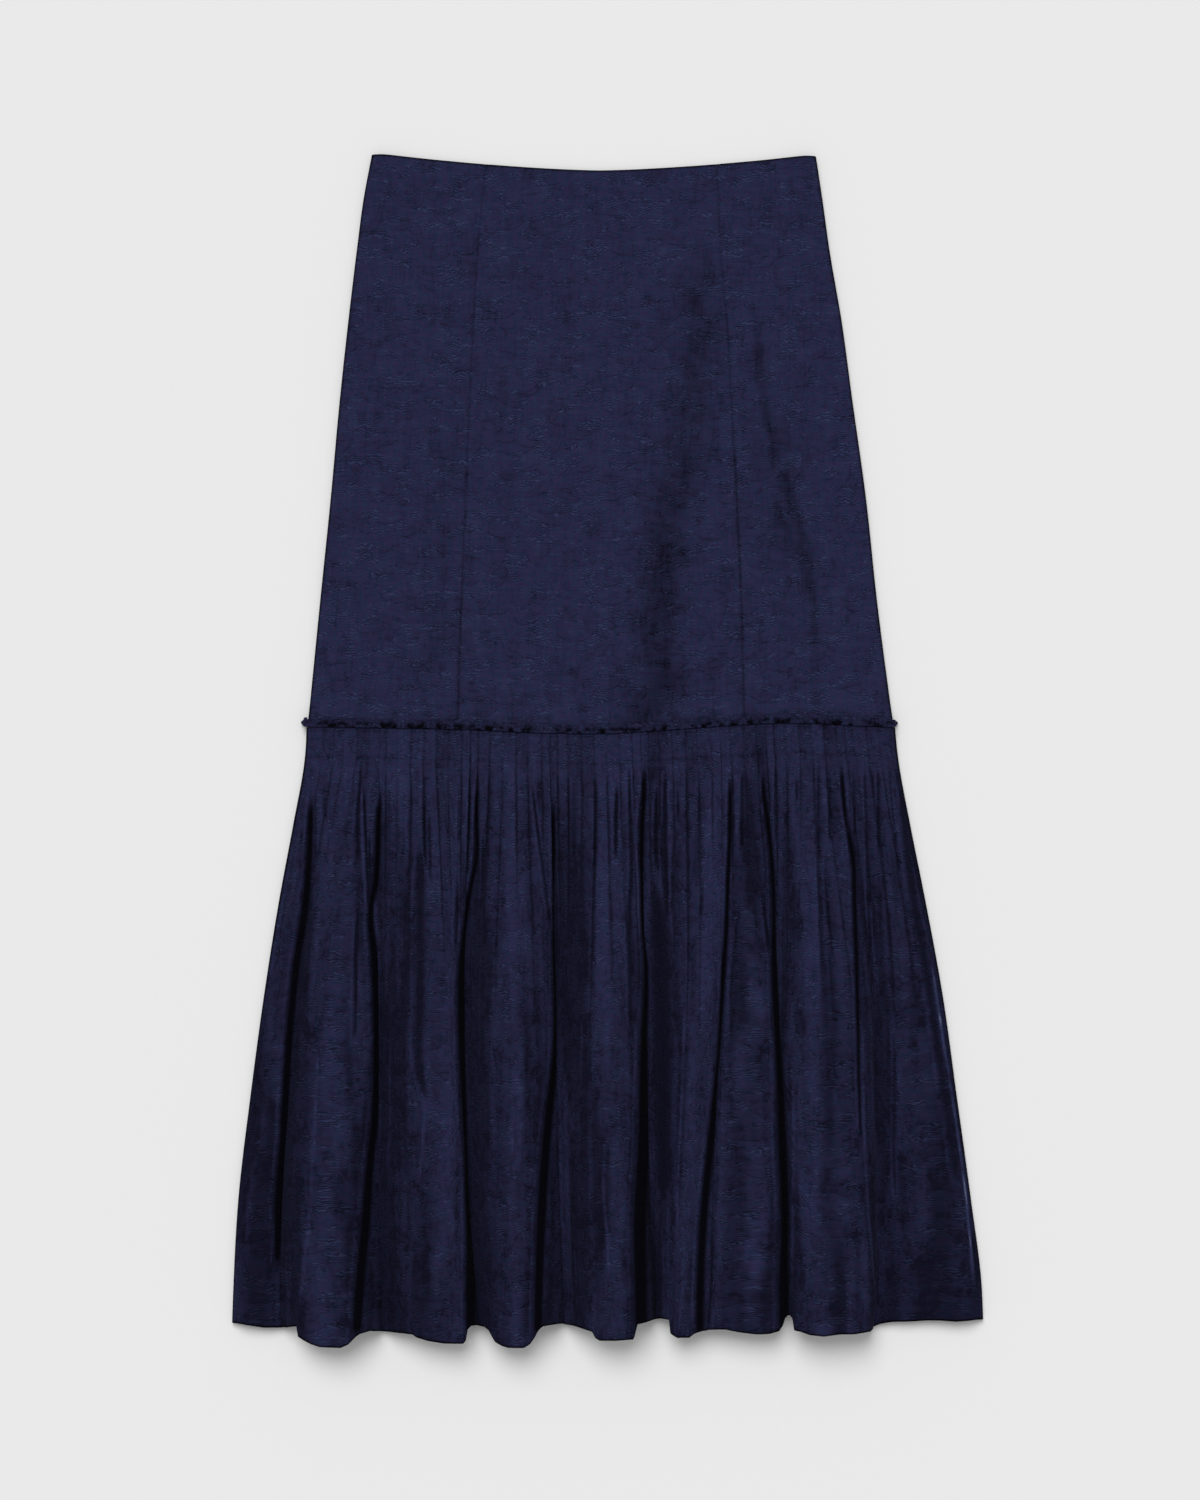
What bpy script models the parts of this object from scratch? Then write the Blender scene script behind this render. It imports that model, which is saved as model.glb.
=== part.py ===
"""Flounced maxi skirt, laid flat on the ground with its front up and its hem towards -Y.

The back panels lie on the ground and the front panels lie on them. Each piece of cloth is one
closed wall between a plain inner grid of points and an outer grid one cloth thickness away.
Sizes are in millimetres until solid() writes them in metres. +X is the viewer's right.
"""
from collections import namedtuple

import bmesh
import bpy
import numpy as np

MM = 0.001

# Cloth and seams
WALL = 1.6          # thickness of the crinkled cloth with its turnings
GAP = 0.3           # left between pieces at a seam, and between the layers
BACK_INSET = 0.4    # the back's side edges stay this far inside the front's
BACK_SHORTER = 3.0  # the back's waist and hem stay this far behind the front's

# Waist: a shallow hollow curve, highest at the sides
WAIST_LOW = 461.6
WAIST_RISE = 13.1
WAIST_CENTRE_X = -11.0
WAIST_HALF = 168.0
WAIST_POWER = 1.7
WAIST_CORNER = 3.0  # how far each corner is rounded down
WAIST_CORNER_REACH = 3.5

# Side edges: the front turns down in a tight round onto the back
TURN = 3.0          # width of that round
SWELL = 2.0         # how far the front stands off the back beside it
SWELL_REACH = 45.0

# The frill on the back lifts both layers by LIFT, from FRILL_ROOM above the seam
LIFT = 2.0
FRILL_ROOM = 9.0
LIFT_END_ABOVE = 20.0
LIFT_END_BELOW = 13.0

# Frill sewn into the joining seam
FRILL_WIDTH = 6.6
FRILL_WALL = 1.0
FRILL_WAVES_FRONT = 73
FRILL_WAVES_BACK = 50
FRILL_WAVE = 1.0    # half the height of a wave at the free edge
FRILL_PRESSED = 0.3  # the same where the back frill is pressed flat
FRILL_SCALLOP = 0.7
FRILL_PAST_SIDE = 4.5
FRILL_DROP = 3.5    # length over which each end comes down past the side edge

# Rows and columns of points; a flounce's rows are shares of its length, a gore's are even
GORE_ROWS = 17
BACK_GORE_ROWS = 6
TURN_PARTS = 3
TUCK_PARTS = 4
FRILL_PARTS = 4
INNER_SKIP = 2      # the plain inside of the front flounce has one column in two
BAND_ROW = 0.06     # end of the stitched band of tucks, 28 mm under the seam
MID_ROW = 0.535
FLOUNCE_ROWS = [0, 0.0275, BAND_ROW, 0.14, 0.25, 0.385, MID_ROW, 0.70, 0.85, 1.0]

# Tucks: stitched flat in the band, open under it, then dying away. TUCK_DOWN gives their height
# by share of the flounce's length, TOOTH the form of one across, steep on its left.
TUCKS = 51
Step = namedtuple("Step", "share height")
TUCK_DOWN = [
    Step(0, 0.9),
    Step(BAND_ROW, 0.9),
    Step(0.14, 1.5),
    Step(0.25, 1.0),
    Step(0.385, 0.4),
    Step(MID_ROW, 0.0),
]
TOOTH = [Step(0, 0), Step(0.25, 1), Step(0.5, 0.72), Step(0.75, 0.4), Step(1, 0)]

# Closed invisible zip in the right side seam, between the layers
ZIP_BELOW_WAIST = 5.0
ZIP_FROM_SIDE = 5.5
ZIP_WIDTH = 11.0
ZIP_TAPE = 1.0      # thickness of the tape, of the coil on it, and of the slider
ZIP_COIL = 1.3
ZIP_SLIDER = 1.6
ZIP_ACROSS = [0, 3.3, 4.0, 7.0, 7.7, 11.0]
ZIP_ON_COIL = [0, 0, 1, 1, 0, 0]
ZIP_DOWN = [0, 3.0, 3.5, 10.0, 10.5, 50, 90, 130]
ZIP_ON_SLIDER = [0, 0, 1, 1, 0, 0, 0, 0]

# Upper skirt: side edges and the two princess seams at each height
Station = namedtuple("Station", "y left left_seam right_seam right")
UPPER = [
    Station(476, -188.5, -96.5, 86.5, 165.8),
    Station(400, -200.6, -104.0, 90.0, 176.6),
    Station(340, -207.8, -107.5, 95.0, 187.0),
    Station(280, -214.2, -110.5, 98.5, 194.2),
    Station(200, -221.4, -113.7, 103.0, 205.4),
    Station(120, -229.4, -117.0, 106.5, 214.2),
    Station(10, -240.4, -120.5, 109.0, 228.6),
]

# Flounce: side edges at each height
Edge = namedtuple("Edge", "y left right")
FLOUNCE = [
    Edge(22, -240.3, 228.3),
    Edge(-13, -242.4, 232.0),
    Edge(-65, -252.8, 241.6),
    Edge(-121, -263.2, 252.8),
    Edge(-201, -276.0, 267.2),
    Edge(-281, -286.4, 278.4),
    Edge(-361, -296.0, 289.6),
    Edge(-433, -300.0, 298.4),
    Edge(-458, -300.0, 299.2),
]

# The joining seam between upper skirt and flounce
Point = namedtuple("Point", "x y")
SEAM = [
    Point(-240, 17.1),
    Point(-120, 14.9),
    Point(-50, 12.1),
    Point(0, 11.7),
    Point(75, 16.5),
    Point(135, 19.9),
    Point(230, 16.5),
]

# Folds of the front flounce, left to right: crests and the valleys between them. Each starts on
# one tuck, counted from the left. mid_x and hem_x place it half way down and at the hem; spread
# is how broad its top or floor is, from 0.2, sharp, to 1, broad and flat.
Fold = namedtuple("Fold", "tuck mid_x hem_x mid_height hem_height hem_y spread")
FOLDS = [
    Fold(0, -281, -300, 0.0, 0.0, -458.0, 0.33),
    Fold(1, -272, -288, 2.5, 3.0, -462.0, 0.60),
    Fold(2, -255, -264, 0.5, 0.5, -461.5, 0.55),
    Fold(4, -231, -223, 15.0, 25.0, -473.5, 0.60),
    Fold(6, -187, -184, 0.5, 0.5, -466.0, 0.60),
    Fold(11, -130, -129, 13.0, 24.0, -470.5, 0.75),
    Fold(14, -118, -105, 1.0, 1.0, -461.5, 0.32),
    Fold(18, -74, -76, 15.0, 26.0, -474.5, 0.60),
    Fold(21, -43, -36, 0.5, 0.0, -460.5, 0.75),
    Fold(26, 4, 7, 15.0, 25.0, -469.0, 0.78),
    Fold(29, 30, 38, 0.5, 0.0, -455.5, 0.62),
    Fold(34, 73, 60, 11.0, 16.0, -468.5, 0.45),
    Fold(36, 88, 79, 5.0, 6.0, -465.5, 0.35),
    Fold(38, 122, 120, 9.0, 11.0, -467.0, 0.95),
    Fold(40, 137, 144, 1.5, 0.5, -453.5, 0.24),
    Fold(44, 173, 180, 14.0, 21.0, -467.0, 0.95),
    Fold(47, 214, 213, 1.0, 0.5, -458.5, 0.27),
    Fold(50, 254, 268, 3.5, 3.0, -456.5, 0.70),
    Fold(51, 272, 299, 0.0, 0.0, -456.5, 0.33),
]
BACK_FOLD = 0.36        # height of the back's waves, as a share of the front's folds over them
BACK_FLAT = 0.4         # share of each fold's height under which the back lies flat
BACK_HEM = -453.0
PLAIN_SPREAD = 1 / 3    # spread with which points are evenly spaced

# Soft rolls in the upper front, where the cloth stands a little off the layer under it
Roll = namedtuple("Roll", "top_x top_y low_x low_y half_width height")
ROLLS = [
    Roll(38, 420, -14, 32, 26, 2.4),
    Roll(108, 385, 64, 32, 20, 2.8),
    Roll(146, 350, 178, 60, 15, 2.0),
    Roll(-150, 330, -172, 60, 24, 1.4),
]
ROLL_FADE = 60.0        # length over which a roll dies away at each end

NAVY = (0.0195, 0.0205, 0.054, 1.0)
NAVY_ZIP = (0.012, 0.013, 0.034, 1.0)


def column(table, name):
    """One named column of a table."""
    return np.array([getattr(row, name) for row in table], float)


def smooth(at, places, values):
    """A smooth curve through a table: cubic pieces with each point's slope from its neighbours."""
    order = np.argsort(places)
    places = np.asarray(places, float)[order]
    values = np.asarray(values, float)[order]
    slopes = np.gradient(values, places)
    low = np.clip(np.searchsorted(places, at) - 1, 0, len(places) - 2)
    step = places[low + 1] - places[low]
    t = np.clip((at - places[low]) / step, 0, 1)
    start = (2 * t**3 - 3 * t**2 + 1) * values[low] + (t**3 - 2 * t**2 + t) * step * slopes[low]
    end = (3 * t**2 - 2 * t**3) * values[low + 1] + (t**3 - t**2) * step * slopes[low + 1]
    return start + end


def ease(t):
    """0 to 1 with level ends."""
    t = np.clip(t, 0, 1)
    return t * t * (3 - 2 * t)


def side_x(table, y, side):
    """X of a side edge or seam at each height."""
    return smooth(y, column(table, "y"), column(table, side))


def seam_y(x):
    """Y of the joining seam at each x."""
    return smooth(x, column(SEAM, "x"), column(SEAM, "y"))


def waist_y(x):
    """Y of the waist edge at each x, with its two corners rounded down."""
    curve = WAIST_LOW + WAIST_RISE * np.abs((x - WAIST_CENTRE_X) / WAIST_HALF) ** WAIST_POWER
    corner = np.minimum(x - UPPER[0].left, UPPER[0].right - x)
    return curve - WAIST_CORNER * np.exp(-np.maximum(corner, 0) / WAIST_CORNER_REACH)


def lift(above_seam):
    """How far the frill under the back raises the layers, by the distance above the seam."""
    upper = (LIFT_END_ABOVE - above_seam) / (LIFT_END_ABOVE - FRILL_ROOM)
    lower = (LIFT_END_BELOW + above_seam) / LIFT_END_BELOW
    return LIFT * np.clip(np.minimum(upper, lower), 0, 1)


def swell(from_side):
    """How far the front stands off the back near a side edge."""
    return SWELL * (1 - ease(from_side / SWELL_REACH))


def rolls(x, y):
    """Height of the soft rolls: a rounded bump along each roll's line, fading at both ends."""
    total = np.zeros_like(x)
    for roll in ROLLS:
        along = (roll.top_y - y) / (roll.top_y - roll.low_y)
        centre = roll.top_x + (roll.low_x - roll.top_x) * along
        fade = ease((roll.top_y - y) / ROLL_FADE) * ease((y - roll.low_y) / ROLL_FADE)
        total += roll.height * fade * np.exp(-(((x - centre) / roll.half_width) ** 2))
    return total


def turn_down(inner, rest, at_left, at_right):
    """Adds the quarter round at a side edge: columns from its foot on the back up to the wall."""
    angle = np.linspace(0, np.pi / 2, TURN_PARTS + 1)[:-1]
    parts = [inner]
    for wanted, end, inward in ((at_left, 0, 1), (at_right, -1, -1)):
        if wanted:
            x, y, z = (inner[:, end, axis, None] for axis in range(3))
            foot = rest[:, end, None]
            round_x = x - inward * TURN * np.cos(angle)
            round_z = foot + (z - foot) * np.sin(angle)
            turn = np.stack([round_x, y + 0 * round_x, round_z], -1)
            parts = [turn] + parts if end == 0 else parts + [turn[:, ::-1]]
    return np.concatenate(parts, 1)


def outer_wall(inner, thickness, at_left, at_right):
    """Points one thickness out, square to each row's section; a side's foot is level, a seam upright."""
    along = np.gradient(inner, axis=1)
    across = np.stack([-along[..., 2], np.zeros_like(along[..., 0]), along[..., 0]], -1)
    across /= np.linalg.norm(across, axis=2, keepdims=True)
    across[:, 0] = [-1, 0, 0] if at_left else [0, 0, 1]
    across[:, -1] = [1, 0, 0] if at_right else [0, 0, 1]
    return inner + across * np.broadcast_to(thickness, inner.shape[:2])[..., None]


def bridge(bm, many, few):
    """Fills the rim between a row of points and a row with a whole share as many."""
    ratio = (len(many) - 1) // (len(few) - 1)
    half = (ratio + 1) // 2
    for j in range(len(few) - 1):
        for i in range(ratio):
            near = few[j] if i < half else few[j + 1]
            bm.faces.new((many[j * ratio + i], many[j * ratio + i + 1], near))
        bm.faces.new((few[j], few[j + 1], many[j * ratio + half]))


def solid(name, outer, inner, colour=NAVY, roughness=0.75):
    """One closed wall between two grids, rows from waist to hem and columns from left to right."""
    bm = bmesh.new()
    top = [[bm.verts.new(point) for point in row] for row in outer * MM]
    under = [[bm.verts.new(point) for point in row] for row in inner * MM]
    for grid in (top, under):
        for upper, lower in zip(grid, grid[1:]):
            for c in range(len(upper) - 1):
                bm.faces.new((upper[c], lower[c], lower[c + 1], upper[c + 1]))
    bridge(bm, top[0], under[0])
    bridge(bm, top[-1], under[-1])
    for r in range(len(top) - 1):
        for end in (0, -1):
            bm.faces.new((top[r][end], top[r + 1][end], under[r + 1][end], under[r][end]))
    bmesh.ops.recalc_face_normals(bm, faces=bm.faces)
    mesh = bpy.data.meshes.new(name)
    bm.to_mesh(mesh)
    bm.free()
    mesh.shade_smooth()
    mesh.set_sharp_from_angle(angle=np.radians(40))
    material = bpy.data.materials.new(name)
    material.use_nodes = True
    shader = material.node_tree.nodes["Principled BSDF"]
    shader.inputs["Base Color"].default_value = colour
    shader.inputs["Roughness"].default_value = roughness
    shader.inputs["Metallic"].default_value = 0.0
    mesh.materials.append(material)
    piece = bpy.data.objects.new(name, mesh)
    bpy.context.collection.objects.link(piece)
    return piece


def plate(name, x, y, z, thick, **finish):
    """A piece that lies level: its underside at z and its top a thickness above."""
    under = np.stack([x, y, z], -1)
    return solid(name, under + [0, 0, 1] * np.asarray(thick)[..., None], under, **finish)


def gore_plan(left, right, columns, rows, inset, shorter):
    """X and y over a gore between two named lines of UPPER.

    A princess seam stays half a gap away and a side edge its inset. Rows are even from the waist,
    which is a little shorter on the back, to the end of the lift; two more follow the seam.
    """
    left_in = GAP / 2 if left.endswith("seam") else inset
    right_in = GAP / 2 if right.endswith("seam") else inset
    across = np.linspace(0, 1, columns + 1)
    down = np.linspace(0, 1, rows + 1)[:, None]
    y = np.broadcast_to(waist_y(0) * (1 - down), (rows + 1, columns + 1))
    y = np.concatenate([y, y[-1:], y[-1:]])
    for _ in range(6):
        edge_left = side_x(UPPER, y, left) + left_in
        edge_right = side_x(UPPER, y, right) - right_in
        x = edge_left + (edge_right - edge_left) * across
        head = waist_y(x) - shorter
        foot = seam_y(x) + GAP / 2
        even = head[:-2] + (foot + LIFT_END_ABOVE - head)[:-2] * down
        y = np.concatenate([even, foot[-2:-1] + FRILL_ROOM, foot[-1:]])
    return x, y


def front_gore(name, left, right, columns):
    """A front gore; at a side edge it turns down onto the back."""
    x, y = gore_plan(left, right, columns, GORE_ROWS, WALL + TURN, 0)
    shoulders = x - side_x(UPPER, y, "left"), side_x(UPPER, y, "right") - x
    from_side = np.minimum(*shoulders) - WALL - TURN
    rest = WALL + GAP + lift(y - seam_y(x))
    sides = left == "left", right == "right"
    inner = np.stack([x, y, rest + swell(from_side) + rolls(x, y)], -1)
    inner = turn_down(inner, rest, *sides)
    return solid(name, outer_wall(inner, WALL, *sides), inner)


def back_gore(name, left, right, columns):
    """A back gore, flat on the ground but for the lift over the frill."""
    x, y = gore_plan(left, right, columns, BACK_GORE_ROWS, BACK_INSET, BACK_SHORTER)
    return plate(name, x, y, lift(y - seam_y(x)), WALL)


def through(v, top, mid, hem):
    """The curve of second degree through a value under the band, half way down and at the hem."""
    v = np.maximum(v, BAND_ROW)[:, None]
    at_top = (v - MID_ROW) * (v - 1) / ((BAND_ROW - MID_ROW) * (BAND_ROW - 1))
    at_mid = (v - BAND_ROW) * (v - 1) / ((MID_ROW - BAND_ROW) * (MID_ROW - 1))
    at_hem = (v - BAND_ROW) * (v - MID_ROW) / ((1 - BAND_ROW) * (1 - MID_ROW))
    return top * at_top + mid * at_mid + hem * at_hem


def shares(name):
    """One x column of FOLDS as shares of the width between its first and last rows."""
    places = column(FOLDS, name)
    return (places - places[0]) / (places[-1] - places[0])


def flounce_plan(v, s):
    """The flounce at rows v and places s, counted in tucks: x, seam y, hem y and fold height.

    Each crest or valley keeps to its tuck. Between it and the next, height eases from one to the
    other, and x runs along a cubic whose two handles are their spreads.
    """
    place = column(FOLDS, "tuck")
    share = through(v, place / TUCKS, shares("mid_x"), shares("hem_x"))
    height = through(v, 0, column(FOLDS, "mid_height"), column(FOLDS, "hem_height"))
    height *= ease(v / BAND_ROW - 0.5)[:, None]
    loose = ease((v - BAND_ROW) / (MID_ROW - BAND_ROW))[:, None]
    spread = PLAIN_SPREAD + (column(FOLDS, "spread") - PLAIN_SPREAD) * loose
    low = np.clip(np.searchsorted(place, s, side="right") - 1, 0, len(place) - 2)
    high = low + 1
    t = (s - place[low]) / (place[high] - place[low])
    run = 3 * (1 - t) ** 2 * t * spread[:, low] + 3 * (1 - t) * t**2 * (1 - spread[:, high]) + t**3
    share = share[:, low] + (share[:, high] - share[:, low]) * run
    height = height[:, low] + (height[:, high] - height[:, low]) * ease(t)
    hem = column(FOLDS, "hem_y")
    hem = hem[low] + (hem[high] - hem[low]) * ease(t)
    side_y = seam_y(0) + (hem[0] - seam_y(0)) * v
    left = side_x(FLOUNCE, side_y, "left")[:, None] + WALL + TURN
    right = side_x(FLOUNCE, side_y, "right")[:, None] - WALL - TURN
    x = left + (right - left) * share
    return x, seam_y(x[0]) - GAP / 2, hem, height


def tuck_height(v, s):
    """Height of the tucks: TOOTH once for each tuck across, scaled by TUCK_DOWN down the length."""
    tooth = np.interp(s - np.floor(s), column(TOOTH, "share"), column(TOOTH, "height"))
    return np.interp(v, column(TUCK_DOWN, "share"), column(TUCK_DOWN, "height"))[:, None] * tooth


def flounce_front():
    """The front flounce: a plain inner wall with its folds, and the tucks in its outer points."""
    v = np.array(FLOUNCE_ROWS)
    s = np.arange(TUCKS * TUCK_PARTS + 1) / TUCK_PARTS
    x, seam, hem, height = flounce_plan(v, s)
    y = seam + (hem - seam) * v[:, None]
    rest = WALL + GAP + lift(y - seam)
    from_side = np.minimum(x - x[:, :1], x[:, -1:] - x)
    inner = turn_down(np.stack([x, y, rest + height + swell(from_side)], -1), rest, True, True)
    relief = np.pad(tuck_height(v, s), ((0, 0), (TURN_PARTS, TURN_PARTS)))
    outer = outer_wall(inner, WALL + relief, True, True)
    return solid("flounce_front", outer, inner[:, ::INNER_SKIP])


def flounce_back():
    """The back flounce: flat on the ground between low waves that rise under the front's folds."""
    v = np.array(FLOUNCE_ROWS)
    x, seam, hem, height = flounce_plan(v, np.arange(TUCKS + 1.0))
    y = seam + (np.maximum(hem + BACK_SHORTER, BACK_HEM) - seam) * v[:, None]
    tallest = height.max(1, keepdims=True) + GAP
    above = np.maximum(height / tallest - BACK_FLAT, 0) / (1 - BACK_FLAT)
    z = lift(y - seam) + BACK_FOLD * tallest * above**2
    past_turn = WALL + TURN - BACK_INSET
    x = np.concatenate([x[:, :1] - past_turn, x, x[:, -1:] + past_turn], 1)
    y, z = np.pad(y, ((0, 0), (1, 1)), "edge"), np.pad(z, ((0, 0), (1, 1)), "edge")
    return plate("flounce_back", x, y, z, WALL)


def frill_plan(waves):
    """X along a frill, its distance in from the frill's nearer end, and the angle of its waves."""
    left = UPPER[-1].left - FRILL_PAST_SIDE
    right = UPPER[-1].right + FRILL_PAST_SIDE
    x = np.linspace(left, right, waves * FRILL_PARTS + 1)
    return x, np.minimum(x - left, right - x), 2 * np.pi * waves * (x - left) / (right - left)


def frill_front():
    """The front frill: a narrow gathered strip lying up over the gores' lower edge."""
    x, from_end, angle = frill_plan(FRILL_WAVES_FRONT)
    on_gores = LIFT + 2 * (WALL + GAP) + swell(from_end - FRILL_PAST_SIDE - WALL - TURN)
    on_back_frill = FRILL_WALL + 2 * FRILL_PRESSED + GAP
    seat = on_back_frill + (on_gores - on_back_frill) * ease(from_end / FRILL_DROP)
    share = np.array([1.0, 0.5, 0.0])[:, None]
    wave = FRILL_WAVE * share * ease(from_end / FRILL_PAST_SIDE / 2) * (1 + np.sin(angle))
    y = seam_y(x) + GAP + share * (FRILL_WIDTH + FRILL_SCALLOP * np.cos(angle))
    return plate("frill_front", x + 0 * y, y, seat + wave, FRILL_WALL + 0 * y)


def frill_back():
    """The back frill, pressed flat between the back and the ground."""
    x, _, angle = frill_plan(FRILL_WAVES_BACK)
    share = np.array([1.0, 0.0])[:, None]
    y = seam_y(x) + GAP + share * (FRILL_WIDTH + FRILL_SCALLOP * np.cos(angle))
    thick = FRILL_WALL + FRILL_PRESSED * share * (1 + np.sin(angle))
    return plate("frill_back", x + 0 * y, y, 0 * y, thick)


def side_zip():
    """A closed zip lying in the right side seam: its tape, coil and slider in one piece."""
    top = waist_y(UPPER[0].right - ZIP_FROM_SIDE) - ZIP_BELOW_WAIST
    y = top - np.array(ZIP_DOWN)[:, None] + np.zeros(len(ZIP_ACROSS))
    x = side_x(UPPER, y, "right") - ZIP_FROM_SIDE - ZIP_WIDTH + np.array(ZIP_ACROSS)
    coil = ZIP_COIL + (ZIP_SLIDER - ZIP_COIL) * np.array(ZIP_ON_SLIDER)[:, None]
    thick = ZIP_TAPE + (coil - ZIP_TAPE) * np.array(ZIP_ON_COIL)
    return plate("side_zip", x, y, 0 * y + WALL + GAP, thick, colour=NAVY_ZIP, roughness=0.5)


for old in list(bpy.data.objects):
    bpy.data.objects.remove(old)

front_gore("gore_front_left", "left", "left_seam", 8)
front_gore("gore_front_centre", "left_seam", "right_seam", 14)
front_gore("gore_front_right", "right_seam", "right", 8)
back_gore("gore_back_left", "left", "left_seam", 7)
back_gore("gore_back_centre", "left_seam", "right_seam", 14)
back_gore("gore_back_right", "right_seam", "right", 7)
flounce_front()
flounce_back()
frill_front()
frill_back()
side_zip()
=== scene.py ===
"""Looks of the flounced maxi skirt, laid flat with its front up and its hem towards -Y.

Every piece is a thin closed shell on the form of its solid, from the same named sizes, with the
creases, tucks, seams and jacquard that the cloth shows. Sizes are in millimetres until
closed_cloth() writes them in metres. +X is the viewer's right, and the waist is towards +Y.
"""
from collections import namedtuple

import bpy
import numpy as np
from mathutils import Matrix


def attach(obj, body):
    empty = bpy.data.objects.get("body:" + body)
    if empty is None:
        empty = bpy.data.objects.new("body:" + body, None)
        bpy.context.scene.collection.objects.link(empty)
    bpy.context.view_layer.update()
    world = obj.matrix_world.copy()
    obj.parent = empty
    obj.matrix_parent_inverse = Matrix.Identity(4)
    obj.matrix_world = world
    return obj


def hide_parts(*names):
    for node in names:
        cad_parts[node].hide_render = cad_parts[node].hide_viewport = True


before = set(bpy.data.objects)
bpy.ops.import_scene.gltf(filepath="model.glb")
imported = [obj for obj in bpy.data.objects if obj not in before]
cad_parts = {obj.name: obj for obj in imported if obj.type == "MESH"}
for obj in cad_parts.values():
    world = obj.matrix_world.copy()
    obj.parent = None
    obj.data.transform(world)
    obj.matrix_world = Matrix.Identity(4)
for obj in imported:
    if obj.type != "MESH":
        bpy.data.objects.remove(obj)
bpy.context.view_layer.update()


# --- The photograph's view: straight down, the whole skirt in a 1200 x 1500 picture ------------
# The frame's origin is at ORIGIN_PIXEL, and one pixel is PIXEL metres of cloth on the ground.
PICTURE = (1200, 1500)
PIXEL = 0.0008
ORIGIN_PIXEL = (608.0, 748.4)
CAMERA_HEIGHT = 2.5
SENSOR = 24.0

camera_data = bpy.data.cameras.new("camera")
camera_data.sensor_fit = "VERTICAL"
camera_data.sensor_height = SENSOR
camera_data.lens = SENSOR * CAMERA_HEIGHT / (PICTURE[1] * PIXEL)
camera_data.clip_end = 10
camera = bpy.data.objects.new("camera", camera_data)
camera.location = (
    (PICTURE[0] / 2 - ORIGIN_PIXEL[0]) * PIXEL,
    (ORIGIN_PIXEL[1] - PICTURE[1] / 2) * PIXEL,
    CAMERA_HEIGHT,
)
bpy.context.collection.objects.link(camera)
bpy.context.scene.camera = camera


# --- Floor and light -----------------------------------------------------------------------------
# A plain pale floor just under the cloth, a broad soft light from the waist end and an even sky.
# The picture keeps plain sRGB values.
FLOOR_HALF = 4.0
FLOOR_BELOW = 0.0003
FLOOR_PALE = 0.774
SKY = 0.52
SUN = 2.15
SUN_HEIGHT = 52        # degrees: over the ground at the waist end, turned aside, and its own width
SUN_ASIDE = 12
SUN_SOFT = 40

bpy.context.scene.view_settings.view_transform = "Standard"
floor_mesh = bpy.data.meshes.new("floor")
corners = [(-1, -1), (1, -1), (1, 1), (-1, 1)]
floor_mesh.from_pydata(
    [(x * FLOOR_HALF, y * FLOOR_HALF, -FLOOR_BELOW) for x, y in corners], [], [(0, 1, 2, 3)]
)
floor_finish = bpy.data.materials.new("pale_floor")
floor_finish.use_nodes = True
floor_shader = floor_finish.node_tree.nodes["Principled BSDF"]
floor_shader.inputs["Base Color"].default_value = (FLOOR_PALE, FLOOR_PALE, FLOOR_PALE, 1)
floor_shader.inputs["Roughness"].default_value = 1.0
floor_shader.inputs["Specular IOR Level"].default_value = 0.0
floor_mesh.materials.append(floor_finish)
floor = bpy.data.objects.new("floor", floor_mesh)
bpy.context.collection.objects.link(floor)

sky = bpy.data.worlds.new("even_sky")
sky.use_nodes = True
sky.node_tree.nodes["Background"].inputs["Color"].default_value = (1, 1, 1, 1)
sky.node_tree.nodes["Background"].inputs["Strength"].default_value = SKY
bpy.context.scene.world = sky
sun_data = bpy.data.lights.new("soft_sun", "SUN")
sun_data.energy = SUN
sun_data.angle = np.radians(SUN_SOFT)
sun = bpy.data.objects.new("soft_sun", sun_data)
sun.rotation_euler = (-np.radians(90 - SUN_HEIGHT), 0, np.radians(SUN_ASIDE))
bpy.context.collection.objects.link(sun)


# --- Front gores: three panels of crinkled navy jacquard -----------------------------------------
# The centre gore and two side gores are joined by pressed princess seams. At each side edge the
# front turns down in a tight round onto the back, and the waist edge is a clean turned edge.
MM = 0.001
WALL = 1.6
GAP = 0.3              # between the front and the back
SEWN = 0.04            # what is left between two pieces where they are sewn together
WAIST_LOW = 461.9      # the waist edge's lowest y, and how far and how steeply its ends rise
WAIST_RISE = 12.2
WAIST_CENTRE_X = -6.0
WAIST_HALF = 168.0
WAIST_POWER = 1.5
WAIST_CORNER = 3.0     # how far its two corners are rounded down
WAIST_CORNER_REACH = 3.5
TURN = 3.0             # radius of the round at the side edges, and its parts
TURN_PARTS = 6
SWELL = 2.0            # how far the front stands off the back along the sides
SWELL_REACH = 45.0
LIFT = 2.0             # how far the frill's seam raises the layers, and where that starts and ends
FRILL_ROOM = 9.0
LIFT_END_ABOVE = 20.0
LIFT_END_BELOW = 13.0
GORE_ROWS = 190
GORE_ROUNDS = 6        # rounds in which the x and y of a gore's points come to agree
EDGE_ROUND = 1.2       # how far from a cut edge the cloth rounds down, and the rows there as shares
EDGE_ROWS = np.array([0, 0.15, 0.5])
SEAM_PRESS = 1.0       # depth and half width of the groove along a princess seam
SEAM_REACH = 2.2
SEAM_TUG = 0.5         # height, length and reach of the puckers beside it
SEAM_TUG_LENGTH = 11
SEAM_TUG_REACH = 9
SEAM_SLACK_FROM = 300  # the seams pucker more from here down, over this length
SEAM_SLACK_OVER = 260
SEAM_SLACK_ABOVE = 0.35        # share of the puckers above there
SEAM_TONE = 0.36       # painted shade and half width of the stitched line in it
SEAM_LINE = 0.8
EDGE_TONE = 0.95       # painted shade and half widths along the turned edges
WAIST_LINE = 1.3
SIDE_LINE = 1.5
FRILL_SHADES = ((0.55, 3.0), (0.16, 16))    # darkness and reach of the frill's shade on the gores
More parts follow.
